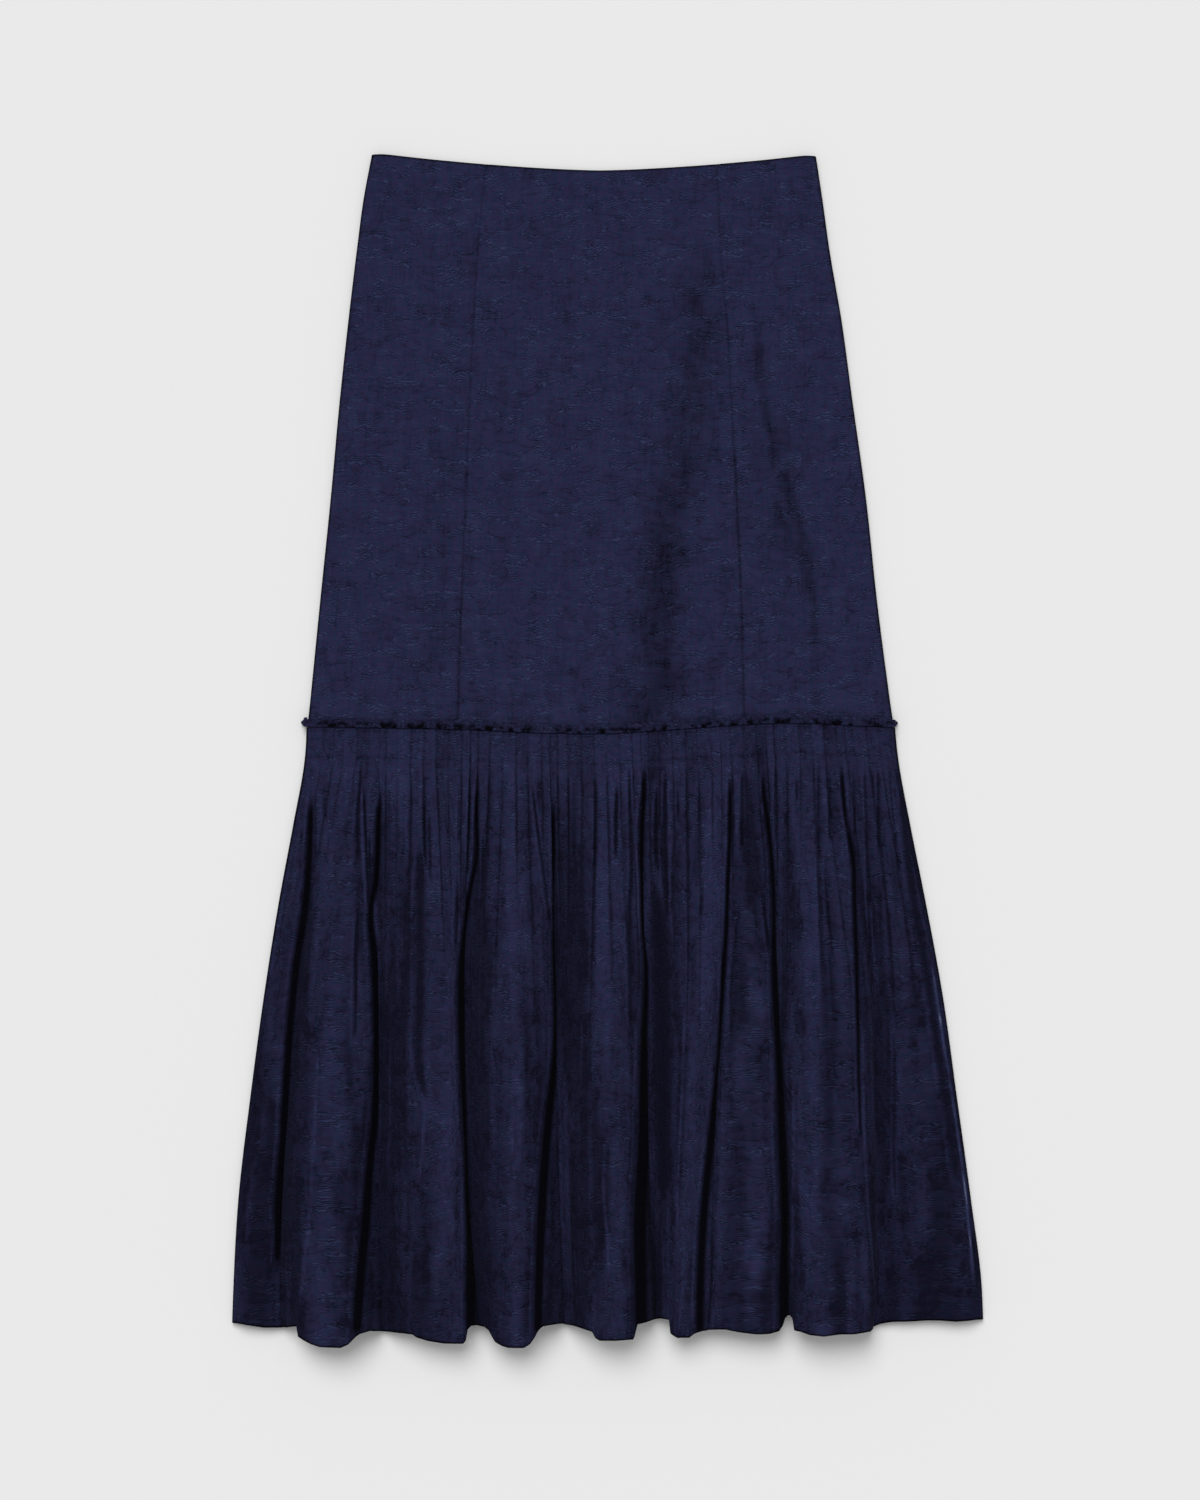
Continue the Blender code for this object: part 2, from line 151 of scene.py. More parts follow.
PUCKER = 0.35          # height of the random crinkles
RIPPLE = 0.6           # height, painted light and shade, length, width and reach of the short waves over the zip
RIPPLE_TONE = 0.22
RIPPLE_LENGTH = 2.4
RIPPLE_WIDTH = 22
RIPPLE_REACH = 9
RIPPLE_END = 335       # y where the waves end, and the length over which they fade
RIPPLE_FADE = 20
LATTICE = (97, 89)     # how many random heights hills() has across and down
SHARP_ANGLE = 70       # edges sharper than this are not smoothed, in degrees

# Upper skirt: side edges and princess seams at each height
Station = namedtuple("Station", "y left left_seam right_seam right")
UPPER = [
    Station(476, -188.5, -96.5, 86.5, 165.8),
    Station(438, -195.6, -100.4, 88.2, 171.5),
    Station(400, -200.6, -104.0, 90.0, 176.8),
    Station(340, -207.8, -107.5, 95.0, 187.0),
    Station(280, -214.3, -110.5, 98.5, 195.1),
    Station(200, -221.7, -113.7, 103.0, 206.2),
    Station(120, -229.9, -117.0, 106.5, 214.8),
    Station(10, -240.8, -120.5, 109.0, 229.1),
]

# The joining seam between upper skirt and flounce
Point = namedtuple("Point", "x y")
SEAM = [
    Point(-240, 17.1),
    Point(-120, 14.9),
    Point(-50, 12.1),
    Point(0, 11.7),
    Point(75, 16.5),
    Point(135, 19.9),
    Point(230, 16.5),
]

# Gores: the lines of UPPER at their sides, their columns, the seed of their crinkles, and the flat
# size in metres and area in square metres of the cut that shows
Gore = namedtuple("Gore", "side left right front_columns back_columns seed flat area")
GORES = [
    Gore("left", "left", "left_seam", 54, 40, 1, (0.125, 0.462), 0.0495),
    Gore("centre", "left_seam", "right_seam", 104, 80, 2, (0.230, 0.455), 0.0935),
    Gore("right", "right_seam", "right", 54, 40, 3, (0.125, 0.462), 0.0480),
]
FRONT_SEEDS = 10       # added to a gore's seed for its front

# Soft rolls, and the troughs and marks between them. Tone is painted shade, and a negative tone is
# painted light.
Roll = namedtuple("Roll", "top_x top_y low_x low_y half_width height tone")
ROLLS = [
    Roll(38, 420, -14, 32, 26, 2.4, 0.0),
    Roll(108, 385, 64, 32, 20, 2.8, 0.0),
    Roll(146, 350, 178, 60, 15, 2.0, 0.0),
    Roll(-150, 330, -172, 60, 24, 1.4, 0.0),
]
TROUGHS = [
    Roll(80, 405, 27, -20, 16, -1.0, 0.33),
    Roll(112, 372, 136, 205, 3.5, -0.8, 0.30),
    Roll(137, 250, 163, 118, 4.5, -0.8, 0.33),
    Roll(158, 185, 166, 50, 4.5, -0.6, 0.27),
    Roll(128, 225, 152, 138, 3.5, -0.4, 0.28),
    Roll(126, 300, 150, 100, 16, -0.4, 0.14),
    Roll(-128, 300, -140, 30, 9, -0.3, 0.12),
    Roll(52, 250, 10, 1, 16, 0.0, 0.10),
    Roll(57, 180, 53, 60, 9, 0.0, 0.13),
    Roll(114, 230, 114, 130, 6, 0.0, 0.08),
    Roll(50, 85, 55, -30, 17, 0.0, 0.14),
    Roll(17, 150, 15, 50, 12, 0.0, -0.09),
    Roll(70, 405, 81, 305, 10, 0.0, -0.09),
    Roll(146, 245, 150, 170, 4, 0.0, -0.12),
]
ROLL_FADE = 45.0       # length over which a roll fades at both ends
WANDER = 0.5           # how far it wanders from its line, in half widths, and in what length
WANDER_LENGTH = 19
UNEVEN = 0.18          # how uneven it is, and in what length
UNEVEN_LENGTH = 11
SEED_SHIFT = 300       # makes a seed of a roll's x


def column(table, name):
    """One named column of a table."""
    return np.array([getattr(row, name) for row in table], float)


def smooth(at, places, values):
    """A smooth curve through a table: cubic pieces with each point's slope from its neighbours."""
    order = np.argsort(places)
    places = np.asarray(places, float)[order]
    values = np.asarray(values, float)[order]
    slopes = np.gradient(values, places)
    low = np.clip(np.searchsorted(places, at) - 1, 0, len(places) - 2)
    step = places[low + 1] - places[low]
    t = np.clip((at - places[low]) / step, 0, 1)
    start = (2 * t**3 - 3 * t**2 + 1) * values[low] + (t**3 - 2 * t**2 + t) * step * slopes[low]
    end = (3 * t**2 - 2 * t**3) * values[low + 1] + (t**3 - t**2) * step * slopes[low + 1]
    return start + end


def ease(t):
    """0 to 1 with level ends."""
    t = np.clip(t, 0, 1)
    return t * t * (3 - 2 * t)


def bell(off, half):
    """exp(-(off / half) ** 2): 1 on a line, and next to nothing at twice the half width."""
    return np.exp(-((off / half) ** 2))


def side_x(table, y, side):
    """X of a side edge or seam at each height."""
    return smooth(y, column(table, "y"), column(table, side))


def seam_y(x):
    """Y of the joining seam at each x."""
    return smooth(x, column(SEAM, "x"), column(SEAM, "y"))


def waist_y(x):
    """Y of the waist edge at each x, with its two corners rounded down."""
    curve = WAIST_LOW + WAIST_RISE * np.abs((x - WAIST_CENTRE_X) / WAIST_HALF) ** WAIST_POWER
    corner = np.minimum(x - UPPER[0].left, UPPER[0].right - x)
    return curve - WAIST_CORNER * np.exp(-np.maximum(corner, 0) / WAIST_CORNER_REACH)


def lift(above_seam):
    """How far the frill under the back raises the layers, by the distance above the seam."""
    upper = (LIFT_END_ABOVE - above_seam) / (LIFT_END_ABOVE - FRILL_ROOM)
    lower = (LIFT_END_BELOW + above_seam) / LIFT_END_BELOW
    return LIFT * np.clip(np.minimum(upper, lower), 0, 1)


def swell(from_side):
    """How far the front stands off the back near a side edge."""
    return SWELL * (1 - ease(from_side / SWELL_REACH))


def along_rolls(table, value, x, y):
    """Sum over a table's rolls of a rounded bump along each roll's line, fading at both ends."""
    total = np.zeros_like(x)
    for roll in table:
        along = (roll.top_y - y) / (roll.top_y - roll.low_y)
        wander = hills(0 * y, y, 1, WANDER_LENGTH, int(roll.top_x + SEED_SHIFT))
        centre = roll.top_x + (roll.low_x - roll.top_x) * along + WANDER * roll.half_width * wander
        fade = ease((roll.top_y - y) / ROLL_FADE) * ease((y - roll.low_y) / ROLL_FADE)
        hilly = hills(x, y, 2 * roll.half_width, UNEVEN_LENGTH, int(roll.low_x + SEED_SHIFT))
        total += getattr(roll, value) * fade * (1 + UNEVEN * hilly) * bell(x - centre, roll.half_width)
    return total


def hills(x, y, wide, tall, seed):
    """Random hills from -1 to 1: random heights on a lattice of wide x tall cells, eased between."""
    table = np.random.default_rng(seed).uniform(-1, 1, LATTICE)
    across, down = x / wide, y / tall
    col, row = np.floor(across).astype(int), np.floor(down).astype(int)
    f, g = ease(across - col), ease(down - row)

    def height(right, up):
        return table[(col + right) % LATTICE[0], (row + up) % LATTICE[1]]

    left = height(0, 0) * (1 - g) + height(0, 1) * g
    right = height(1, 0) * (1 - g) + height(1, 1) * g
    return left * (1 - f) + right * f


def crinkles(x, y, seed):
    """Low random relief of the crinkled cloth: two sizes of hills, wider across than down."""
    return 0.6 * hills(x, y, 21, 13, seed) + 0.4 * hills(x, y, 9, 6, seed + 1)


def turn_down(inner, rest, at_left, at_right):
    """Adds the quarter round at a side edge: columns from its foot on the back up to the wall."""
    angle = np.linspace(0, np.pi / 2, TURN_PARTS + 1)[:-1]
    parts = [inner]
    for wanted, end, inward in ((at_left, 0, 1), (at_right, -1, -1)):
        if wanted:
            x, y, z = (inner[:, end, axis, None] for axis in range(3))
            foot = rest[:, end, None]
            round_x = x - inward * TURN * np.cos(angle)
            round_z = foot + (z - foot) * np.sin(angle)
            turn = np.stack([round_x, y + 0 * round_x, round_z], -1)
            parts = [turn] + parts if end == 0 else parts + [turn[:, ::-1]]
    return np.concatenate(parts, 1)


def outer_wall(inner, at_left, at_right):
    """Points one WALL out, square to each row's section; a side's foot is level, a seam upright."""
    along = np.gradient(inner, axis=1)
    across = np.stack([-along[..., 2], np.zeros_like(along[..., 0]), along[..., 0]], -1)
    across /= np.linalg.norm(across, axis=2, keepdims=True)
    across[:, 0] = [-1, 0, 0] if at_left else [0, 0, 1]
    across[:, -1] = [1, 0, 0] if at_right else [0, 0, 1]
    return inner + across * WALL


def rounded(from_edge):
    """How far the cloth has rounded down at a distance from its edge: the rest of a quarter circle."""
    t = np.clip(from_edge / EDGE_ROUND, 0, 1)
    return (WALL / 2) * (1 - np.sqrt(1 - (1 - t) ** 2))


def grid_quads(point):
    """Quads of a grid of point numbers: upper left, lower left, lower right, upper right."""
    return np.stack([point[:-1, :-1], point[1:, :-1], point[1:, 1:], point[:-1, 1:]], -1).reshape(-1, 4)


def rim_triangles(many, few):
    """Triangles of the rim between a row of points and a row with a whole share as many."""
    ratio = (len(many) - 1) // (len(few) - 1)
    half = (ratio + 1) // 2
    near = np.where(
        np.arange(len(many) - 1) % ratio < half, np.repeat(few[:-1], ratio), np.repeat(few[1:], ratio)
    )
    middle = many[half::ratio][: len(few) - 1]
    return np.concatenate(
        [np.stack([many[:-1], many[1:], near], -1), np.stack([few[1:], few[:-1], middle], -1)]
    )


def closed_cloth(name, outer, inner, cloth, tone=None, cloth_right=None, skip=1):
    """One closed wall between an outer grid of points and a coarser inner grid, waist to hem.

    cloth is each outer point's place on the cloth, kept as the UV map in metres. Where a quad's
    right edge has its own place, as at a tuck, cloth_right gives it. tone is kept as an attribute.
    """
    inner = inner[:, ::skip]
    rows, columns = outer.shape[:2]
    top = np.arange(rows * columns).reshape(rows, columns)
    under = rows * columns + np.arange(rows * inner.shape[1]).reshape(rows, -1)
    left = np.stack([top[:-1, 0], under[:-1, 0], under[1:, 0], top[1:, 0]], -1)
    right = np.stack([top[1:, -1], under[1:, -1], under[:-1, -1], top[:-1, -1]], -1)
    quads = np.concatenate([grid_quads(top), grid_quads(under)[:, ::-1], left, right])
    rims = np.concatenate([rim_triangles(top[0], under[0]), rim_triangles(top[-1], under[-1])[:, ::-1]])
    points = np.concatenate([outer.reshape(-1, 3), inner.reshape(-1, 3)]) * MM
    mesh = bpy.data.meshes.new(name)
    mesh.from_pydata(points, [], quads.tolist() + rims.tolist())

    place = np.concatenate([cloth.reshape(-1, 2), cloth[:, ::skip].reshape(-1, 2)])
    corner_place = np.concatenate([place[quads.ravel()], place[rims.ravel()]])
    if cloth_right is not None:
        outer_quads = (rows - 1) * (columns - 1)
        by_quad = corner_place[: outer_quads * 4].reshape(rows - 1, columns - 1, 4, 2)
        by_quad[:, :, 2] = cloth_right[1:, 1:]
        by_quad[:, :, 3] = cloth_right[:-1, 1:]
    corner_place = (corner_place * MM).astype(np.float32)
    mesh.uv_layers.new(name="cloth").uv.foreach_set("vector", corner_place.ravel())
    # tone is mostly painted shade and painted light
    tone = np.zeros(outer.shape[:2]) if tone is None else tone
    shade = np.concatenate([tone.ravel(), tone[:, ::skip].ravel()])
    mesh.attributes.new("tone", "FLOAT", "POINT").data.foreach_set("value", shade.astype(np.float32))
    mesh.shade_smooth()
    mesh.set_sharp_from_angle(angle=np.radians(SHARP_ANGLE))
    piece = bpy.data.objects.new(name, mesh)
    bpy.context.collection.objects.link(piece)
    return piece


WHOLE_TURN = 6.283     # radians


def make_node(tree, kind, inputs, **settings):
    """A new node with its settings, and each input linked to a socket or Term, or set to a value."""
    node = tree.nodes.new("ShaderNode" + kind)
    for name, value in settings.items():
        setattr(node, name, value)
    for place, value in inputs.items():
        value = value.socket if isinstance(value, Term) else value
        if isinstance(value, bpy.types.NodeSocket):
            tree.links.new(value, node.inputs[place])
        else:
            node.inputs[place].default_value = value
    return node


class Term:
    """A node's output, so that a formula written in Python becomes a chain of Math nodes."""

    def __init__(self, tree, socket):
        self.tree = tree
        self.socket = socket

    def maths(self, operation, *others):
        inputs = dict(enumerate((self,) + others))
        return Term(self.tree, make_node(self.tree, "Math", inputs, operation=operation).outputs[0])

    def __add__(self, other):
        return self.maths("ADD", other)

    def __sub__(self, other):
        return self.maths("SUBTRACT", other)

    def __mul__(self, other):
        return self.maths("MULTIPLY", other)

    def step(self, low, high):
        """0 below low, 1 above high, and eased between."""
        inputs = {"Value": self, "From Min": low, "From Max": high}
        node = make_node(self.tree, "MapRange", inputs, interpolation_type="SMOOTHSTEP")
        return Term(self.tree, node.outputs[0])


def vector_maths(tree, operation, first, second):
    """A Vector Math node on a socket and a socket or three numbers."""
    return make_node(tree, "VectorMath", {0: first, 1: second}, operation=operation).outputs[0]


def noise(tree, place, size, detail=2.0, rough=0.5):
    """Blender's 2D noise, with hills about size apart."""
    inputs = {"Vector": place, "Scale": 1 / size, "Detail": detail, "Roughness": rough}
    return Term(tree, make_node(tree, "TexNoise", inputs, noise_dimensions="2D").outputs[0])


def scattered(tree, place, cell, shift):
    """Places within motifs thrown over the cloth, one to a cell, each turned at random: x, y, chance."""
    moved = vector_maths(tree, "ADD", place, shift)
    inputs = {"Vector": moved, "Scale": 1 / cell, "Randomness": 0.8}
    spots = make_node(tree, "TexVoronoi", inputs, voronoi_dimensions="2D")
    chance = make_node(tree, "SeparateColor", {0: spots.outputs["Color"]})
    from_centre = vector_maths(tree, "SUBTRACT", moved, spots.outputs["Position"])
    inputs = {"Vector": from_centre, "Angle": Term(tree, chance.outputs[0]) * WHOLE_TURN}
    turned = make_node(tree, "VectorRotate", inputs, rotation_type="Z_AXIS")
    parts = make_node(tree, "SeparateXYZ", {0: turned.outputs[0]})
    return Term(tree, parts.outputs[0]), Term(tree, parts.outputs[1]), Term(tree, chance.outputs[1])


def leaf(tree, place, cell, shift, length, width, share):
    """Leaves: a lens, 1 inside, with a thin vein down its middle, in a share of the cells."""
    x, y, chance = scattered(tree, place, cell, shift)
    along = x * (2 / length)
    aside = (y * (2 / width)).maths("ABSOLUTE")
    inside = (along * along * -1 + 1 - aside).step(0.0, 0.28)
    vein = aside.step(0.02, 0.16)
    return inside * (vein * 0.45 + 0.55) * chance.step(1.001 - share, 1.002 - share)


def blossom(tree, place, cell, shift, radius, share):
    """Five-petalled flowers: the radius waves five times round, with a small eye in the middle."""
    x, y, chance = scattered(tree, place, cell, shift)
    away = (x * x + y * y).maths("SQRT")
    petals = (y.maths("ARCTAN2", x) * 5).maths("COSINE") * (0.3 * radius) + 0.7 * radius
    inside = (petals - away).step(0.0, 2.0)
    eye = away.step(1.4, 2.6)
    return inside * (eye * 0.7 + 0.3) * chance.step(1.001 - share, 1.002 - share)


def mixed(tree, share, first, second):
    """A colour between two colours."""
    return make_node(tree, "Mix", {0: share, 6: first, 7: second}, data_type="RGBA").outputs[2]


SLATE = (0.0180, 0.0188, 0.0530, 1)      # smooth ground
PURPLE = (0.0185, 0.0165, 0.0465, 1)     # leaves and flowers
BLUE = (0.0275, 0.0335, 0.0820, 1)       # painted highlight: the lit backs of the crepe ridges, and painted light
DARK = (0.0011, 0.0008, 0.0014, 1)       # painted shade in hollows and creases, and dark marks
PALE = (0.1600, 0.1800, 0.2800, 1)       # edges that catch the light
REDDER = (0.0207, 0.0177, 0.0530, 1)     # the ground is woven of several navy threads
GREENER = (0.0152, 0.0200, 0.0525, 1)
RIDGE_PITCH = 2.1                        # crepe ridges, crest to crest
RIDGE_DEEP = 0.26
MOTIF_DEEP = 0.45
PUCKER_DEEP = 0.9
SQUIGGLE_DEEP = 0.3
MOTTLED_DARKEST = 0.76                   # share of DARK in a shaded place, and in a crease
DARKEST = 0.97


def make_jacquard():
    """The cloth's pattern as a node group: place on the cloth in millimetres to colour and relief.

    A positive tone is painted shade, a negative one painted light, and one under -1 a pale highlight.
    """
    tree = bpy.data.node_groups.new("crinkled_jacquard", "ShaderNodeTree")
    tree.interface.new_socket("Place", in_out="INPUT", socket_type="NodeSocketVector")
    tree.interface.new_socket("Tone", in_out="INPUT", socket_type="NodeSocketFloat")
    tree.interface.new_socket("Narrow", in_out="INPUT", socket_type="NodeSocketFloat")
    tree.interface.new_socket("Colour", in_out="OUTPUT", socket_type="NodeSocketColor")
    tree.interface.new_socket("Relief", in_out="OUTPUT", socket_type="NodeSocketFloat")
    given = tree.nodes.new("NodeGroupInput")
    result = tree.nodes.new("NodeGroupOutput")
    place = given.outputs["Place"]
    tone = Term(tree, given.outputs["Tone"])
    narrowing = make_node(tree, "CombineXYZ", {0: given.outputs["Narrow"], 1: 1})

    large = leaf(tree, place, cell=33, shift=(0, 0, 0), length=31, width=12, share=0.8)
    small = leaf(tree, place, cell=22, shift=(311, 97, 0), length=19, width=8, share=0.7)
    flower = blossom(tree, place, cell=66, shift=(53, 710, 0), radius=15, share=0.6)
    motif = large.maths("MAXIMUM", small).maths("MAXIMUM", flower)
    outline = motif * (motif * -1 + 1) * 4
    tint = noise(tree, vector_maths(tree, "ADD", place, (400, 31, 0)), 4, 2.0, 0.6)

    parts = make_node(tree, "SeparateXYZ", {0: place})
    sway = noise(tree, place, 6) * 7
    low_wide = vector_maths(tree, "MULTIPLY", place, narrowing.outputs[0])
    wave = ((Term(tree, parts.outputs[1]) + sway) * (WHOLE_TURN / RIDGE_PITCH)).maths("SINE")
    patch = noise(tree, low_wide, 9, 2.0).step(0.42, 0.60) * (motif * -0.8 + 1)
    ridges = wave * patch

    contour = (noise(tree, low_wide, 12, 1.0, 0.5) - 0.5).maths("ABSOLUTE").step(0.0, 0.034) * -1 + 1
    here_and_there = noise(tree, vector_maths(tree, "ADD", place, (70, 9, 0)), 17, 1.0)
    squiggle = contour * here_and_there.step(0.50, 0.64)
    pucker = noise(tree, low_wide, 5, 1.5, 0.6)
    tall_narrow = vector_maths(tree, "MULTIPLY", place, (1, 0.22, 1))
    streak = noise(tree, tall_narrow, 2.6, 2.0, 0.6) * 0.6 + noise(tree, tall_narrow, 9, 1.0) * 0.4
    blotch = noise(tree, place, 9, 3.0, 0.65) * 0.8 + motif * 0.45

    wash = noise(tree, place, 24, 3.0, 0.6)
    colour = mixed(tree, tint.step(0.38, 0.62), REDDER, GREENER)
    colour = mixed(tree, motif * 0.4, colour, PURPLE)
    # painted highlight on the crepe's crests and the puckers' tops, with the crepe's paler patches and
    # random streaks and washes
    lit = ridges * 0.7 + patch * 0.35 + (streak - 0.5) * 1.2 + (pucker - 0.5) * 0.8 + (wash - 0.5) * 1.0
    colour = mixed(tree, lit.step(0.0, 1.3), colour, BLUE)
    # the motifs' dark outlines, random streaks and washes, and painted shade in the squiggled wrinkles, the
    # crepe's troughs and the puckers' hollows
    marks_and_painted_shade = squiggle * 0.22 + outline * 0.05 + (wave * -0.16 + 0.05) * patch + (pucker * -1 + 0.5) * 0.4
    marks_and_painted_shade = marks_and_painted_shade + (wash * -1 + 0.5) * 0.4 + (streak * -1 + 0.5) * 0.8
    # a positive tone is painted shade: it deepens the marks and mixes towards DARK
    dark = tone.maths("MAXIMUM", 0.0)
    marks_and_painted_shade = marks_and_painted_shade.maths("MAXIMUM", 0.0) * (dark * 0.8 + 1)
    mottled = (marks_and_painted_shade + tone * (blotch * 0.6 + 0.62)).maths("MINIMUM", MOTTLED_DARKEST)
    shade = mottled.maths("MAXIMUM", tone * 1.2 - 0.1)
    colour = mixed(tree, shade.maths("MINIMUM", DARKEST).maths("MAXIMUM", 0.0), colour, DARK)
    # a negative tone is painted light towards BLUE, and under -1 a pale painted highlight
    painted_light = tone * -1
    colour = mixed(tree, painted_light.maths("MAXIMUM", 0.0), colour, BLUE)
    colour = mixed(tree, (painted_light - 1).maths("MAXIMUM", 0.0), colour, PALE)
    tree.links.new(colour, result.inputs["Colour"])
    relief = ridges * RIDGE_DEEP + motif * MOTIF_DEEP + pucker * PUCKER_DEEP - squiggle * SQUIGGLE_DEEP
    tree.links.new((relief * MM).socket, result.inputs["Relief"])
    return tree


jacquard = make_jacquard()


def cloth_finish(name, narrow):
    """The jacquard on a piece's own place map, with a soft dull nap. Its puckers are 1 / narrow wide."""
    material = bpy.data.materials.new(name)
    material.use_nodes = True
    tree = material.node_tree
    shader = tree.nodes["Principled BSDF"]
    shader.inputs["Roughness"].default_value = 0.7
    shader.inputs["Specular IOR Level"].default_value = 0.01
    shader.inputs["Sheen Weight"].default_value = 0.008
    shader.inputs["Sheen Roughness"].default_value = 0.5
    place = make_node(tree, "UVMap", {}, uv_map="cloth").outputs[0]
    tone = make_node(tree, "Attribute", {}, attribute_name="tone").outputs["Fac"]
    in_millimetres = vector_maths(tree, "MULTIPLY", place, (1000, 1000, 1000))
    inputs = {"Place": in_millimetres, "Tone": tone, "Narrow": narrow}
    pattern = make_node(tree, "Group", inputs, node_tree=jacquard)
    inputs = {"Height": pattern.outputs["Relief"], "Strength": 1.0, "Distance": 1.0}
    bump = make_node(tree, "Bump", inputs)
    tree.links.new(pattern.outputs["Colour"], shader.inputs["Base Color"])
    tree.links.new(bump.outputs[0], shader.inputs["Normal"])
    return material


cloth = cloth_finish("navy_jacquard", 0.4)


def sew_on(piece, node, material):
    """Puts a finished sheet of cloth in the place of its solid."""
    piece.data.materials.append(material)
    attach(piece, "root")
    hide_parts(node)


def gore_plan(gore, columns, inset, shorter):
    """X and y over a gore between its two lines of UPPER, rows from the waist to the seam."""
    left_in = SEWN / 2 if gore.left.endswith("seam") else inset
    right_in = SEWN / 2 if gore.right.endswith("seam") else inset
    across = np.linspace(0, 1, columns + 1)
    down = np.linspace(0, 1, GORE_ROWS + 1)[1:-1]
    at_edge = EDGE_ROUND / (WAIST_LOW - SEAM[2].y) * EDGE_ROWS
    down = np.concatenate([at_edge, down, 1 - at_edge[::-1]])[:, None]
    y = np.broadcast_to(waist_y(0) * (1 - down), (len(down), columns + 1))
    for _ in range(GORE_ROUNDS):
        edge_left = side_x(UPPER, y, gore.left) + left_in
        edge_right = side_x(UPPER, y, gore.right) - right_in
        x = edge_left + (edge_right - edge_left) * across
        head = waist_y(x) - shorter
        foot = seam_y(x) + SEWN / 2
        y = head + (foot - head) * down
    return x, y


def gore_relief(x, y, seed):
    """Height over the plain wall, and tone of painted shade and light: crinkles, troughs, seam grooves."""
    relief = PUCKER * crinkles(x, y, seed) + along_rolls(TROUGHS, "height", x, y)
    # painted shade down the troughs, and painted light where a trough's tone is negative
    tone = along_rolls(TROUGHS, "tone", x, y)
    looser = ease((SEAM_SLACK_FROM - y) / SEAM_SLACK_OVER)
    slack = SEAM_SLACK_ABOVE + (1 - SEAM_SLACK_ABOVE) * looser
    puckers = SEAM_TUG * slack * hills(x * 0, y, 1, SEAM_TUG_LENGTH, seed + 7)
    for side in ("left_seam", "right_seam"):
        away = np.abs(x - side_x(UPPER, y, side))
        relief += puckers * bell(away, SEAM_TUG_REACH) - SEAM_PRESS * bell(away, SEAM_REACH)
        # painted shade in each seam's groove, deeper where it puckers
        tone += SEAM_TONE * (0.3 + 0.7 * slack) * bell(away, SEAM_LINE)
    below_waist = waist_y(x) - y
    above_seam = y - seam_y(x)
    from_side = np.minimum(x - side_x(UPPER, y, "left"), side_x(UPPER, y, "right") - x)
    relief -= rounded(below_waist) + rounded(above_seam)
    # painted shade where the waist edge and the side edges round down
    tone += EDGE_TONE * bell(below_waist, WAIST_LINE)
    tone += EDGE_TONE * bell(from_side, SIDE_LINE)
    tone += sum(darkness * bell(above_seam, reach) for darkness, reach in FRILL_SHADES)
    return relief, tone


def zip_ripple(x, y):
    """Short waves across the right side edge over the zip: noise * bell(from the side)."""
    from_zip = side_x(UPPER, y, "right") - x
    waves = hills(x, y, RIPPLE_WIDTH, RIPPLE_LENGTH, 77)
    return waves * bell(from_zip, RIPPLE_REACH) * ease((y - RIPPLE_END) / RIPPLE_FADE)


def front_gore(gore):
    """A front gore; at a side edge it turns down onto the back."""
    x, y = gore_plan(gore, gore.front_columns, WALL + TURN, 0)
    shoulders = x - side_x(UPPER, y, "left"), side_x(UPPER, y, "right") - x
    from_side = np.minimum(*shoulders) - WALL - TURN
    rest = WALL + GAP + lift(y - seam_y(x))
    sides = gore.left == "left", gore.right == "right"
    height = rest + swell(from_side) + along_rolls(ROLLS, "height", x, y)
    inner = turn_down(np.stack([x, y, height], -1), rest, *sides)
    outer = outer_wall(inner, *sides)
    relief, tone = gore_relief(outer[..., 0], outer[..., 1], FRONT_SEEDS + gore.seed)
    ripple = zip_ripple(outer[..., 0], outer[..., 1])
    relief += RIPPLE * ripple
    # painted light on the waves' crests and painted shade in their troughs
    tone -= RIPPLE_TONE * ripple
    rise = np.clip((outer[..., 2] - rest.min()) / (WALL + GAP), 0, 1)
    outer[..., 2] += relief * rise
    return closed_cloth(f"front_gore_{gore.side}", outer, inner, outer[..., :2], tone, skip=4)


for gore in GORES:
    front = front_gore(gore)
    sew_on(front, f"gore_front_{gore.side}", cloth)


# --- Back gores: the same three panels, lying on the ground ---------------------------------------
# They are flat but for the lift over the back frill, and their outer side is the underside.
BACK_INSET = 0.4       # how far its edges stand in from the front's, at the sides and the waist
BACK_SHORTER = 3.0
BACK_SEEDS = 20        # added to a gore's seed for its back


def back_gore(gore):
    """A back gore: its underside has the pressed seams, and its inside is plain."""
    x, y = gore_plan(gore, gore.back_columns, BACK_INSET, BACK_SHORTER)
    under = np.stack([x, y, lift(y - seam_y(x))], -1)
    relief, tone = gore_relief(x, y, BACK_SEEDS + gore.seed)
    above = under + [0, 0, WALL]
    under[..., 2] += np.clip(-relief, 0, WALL / 2)
    return closed_cloth(f"back_gore_{gore.side}", above, under, above[..., :2], tone)


for gore in GORES:
    sew_on(back_gore(gore), f"gore_back_{gore.side}", cloth)


# --- Front flounce: one wide panel set into narrow tucks -----------------------------------------
# The tucks are stitched flat in a band under the seam, open below it and gather into deep soft
# folds that fan out to the hem, which is turned up and stitched.
BAND_ROW = 0.06        # where the band of tucks ends, and where the folds' middle is, in shares
MID_ROW = 0.535
PLAIN_SPREAD = 1 / 3   # every fold's spread under the band
TUCKS = 51
TUCK_COLUMNS = 12
TUCK_CLOTH = 15.7      # cloth from one tuck to the next, its hidden part too
TUCK_SEEN = 11.0       # width that a tuck shows, about half way down

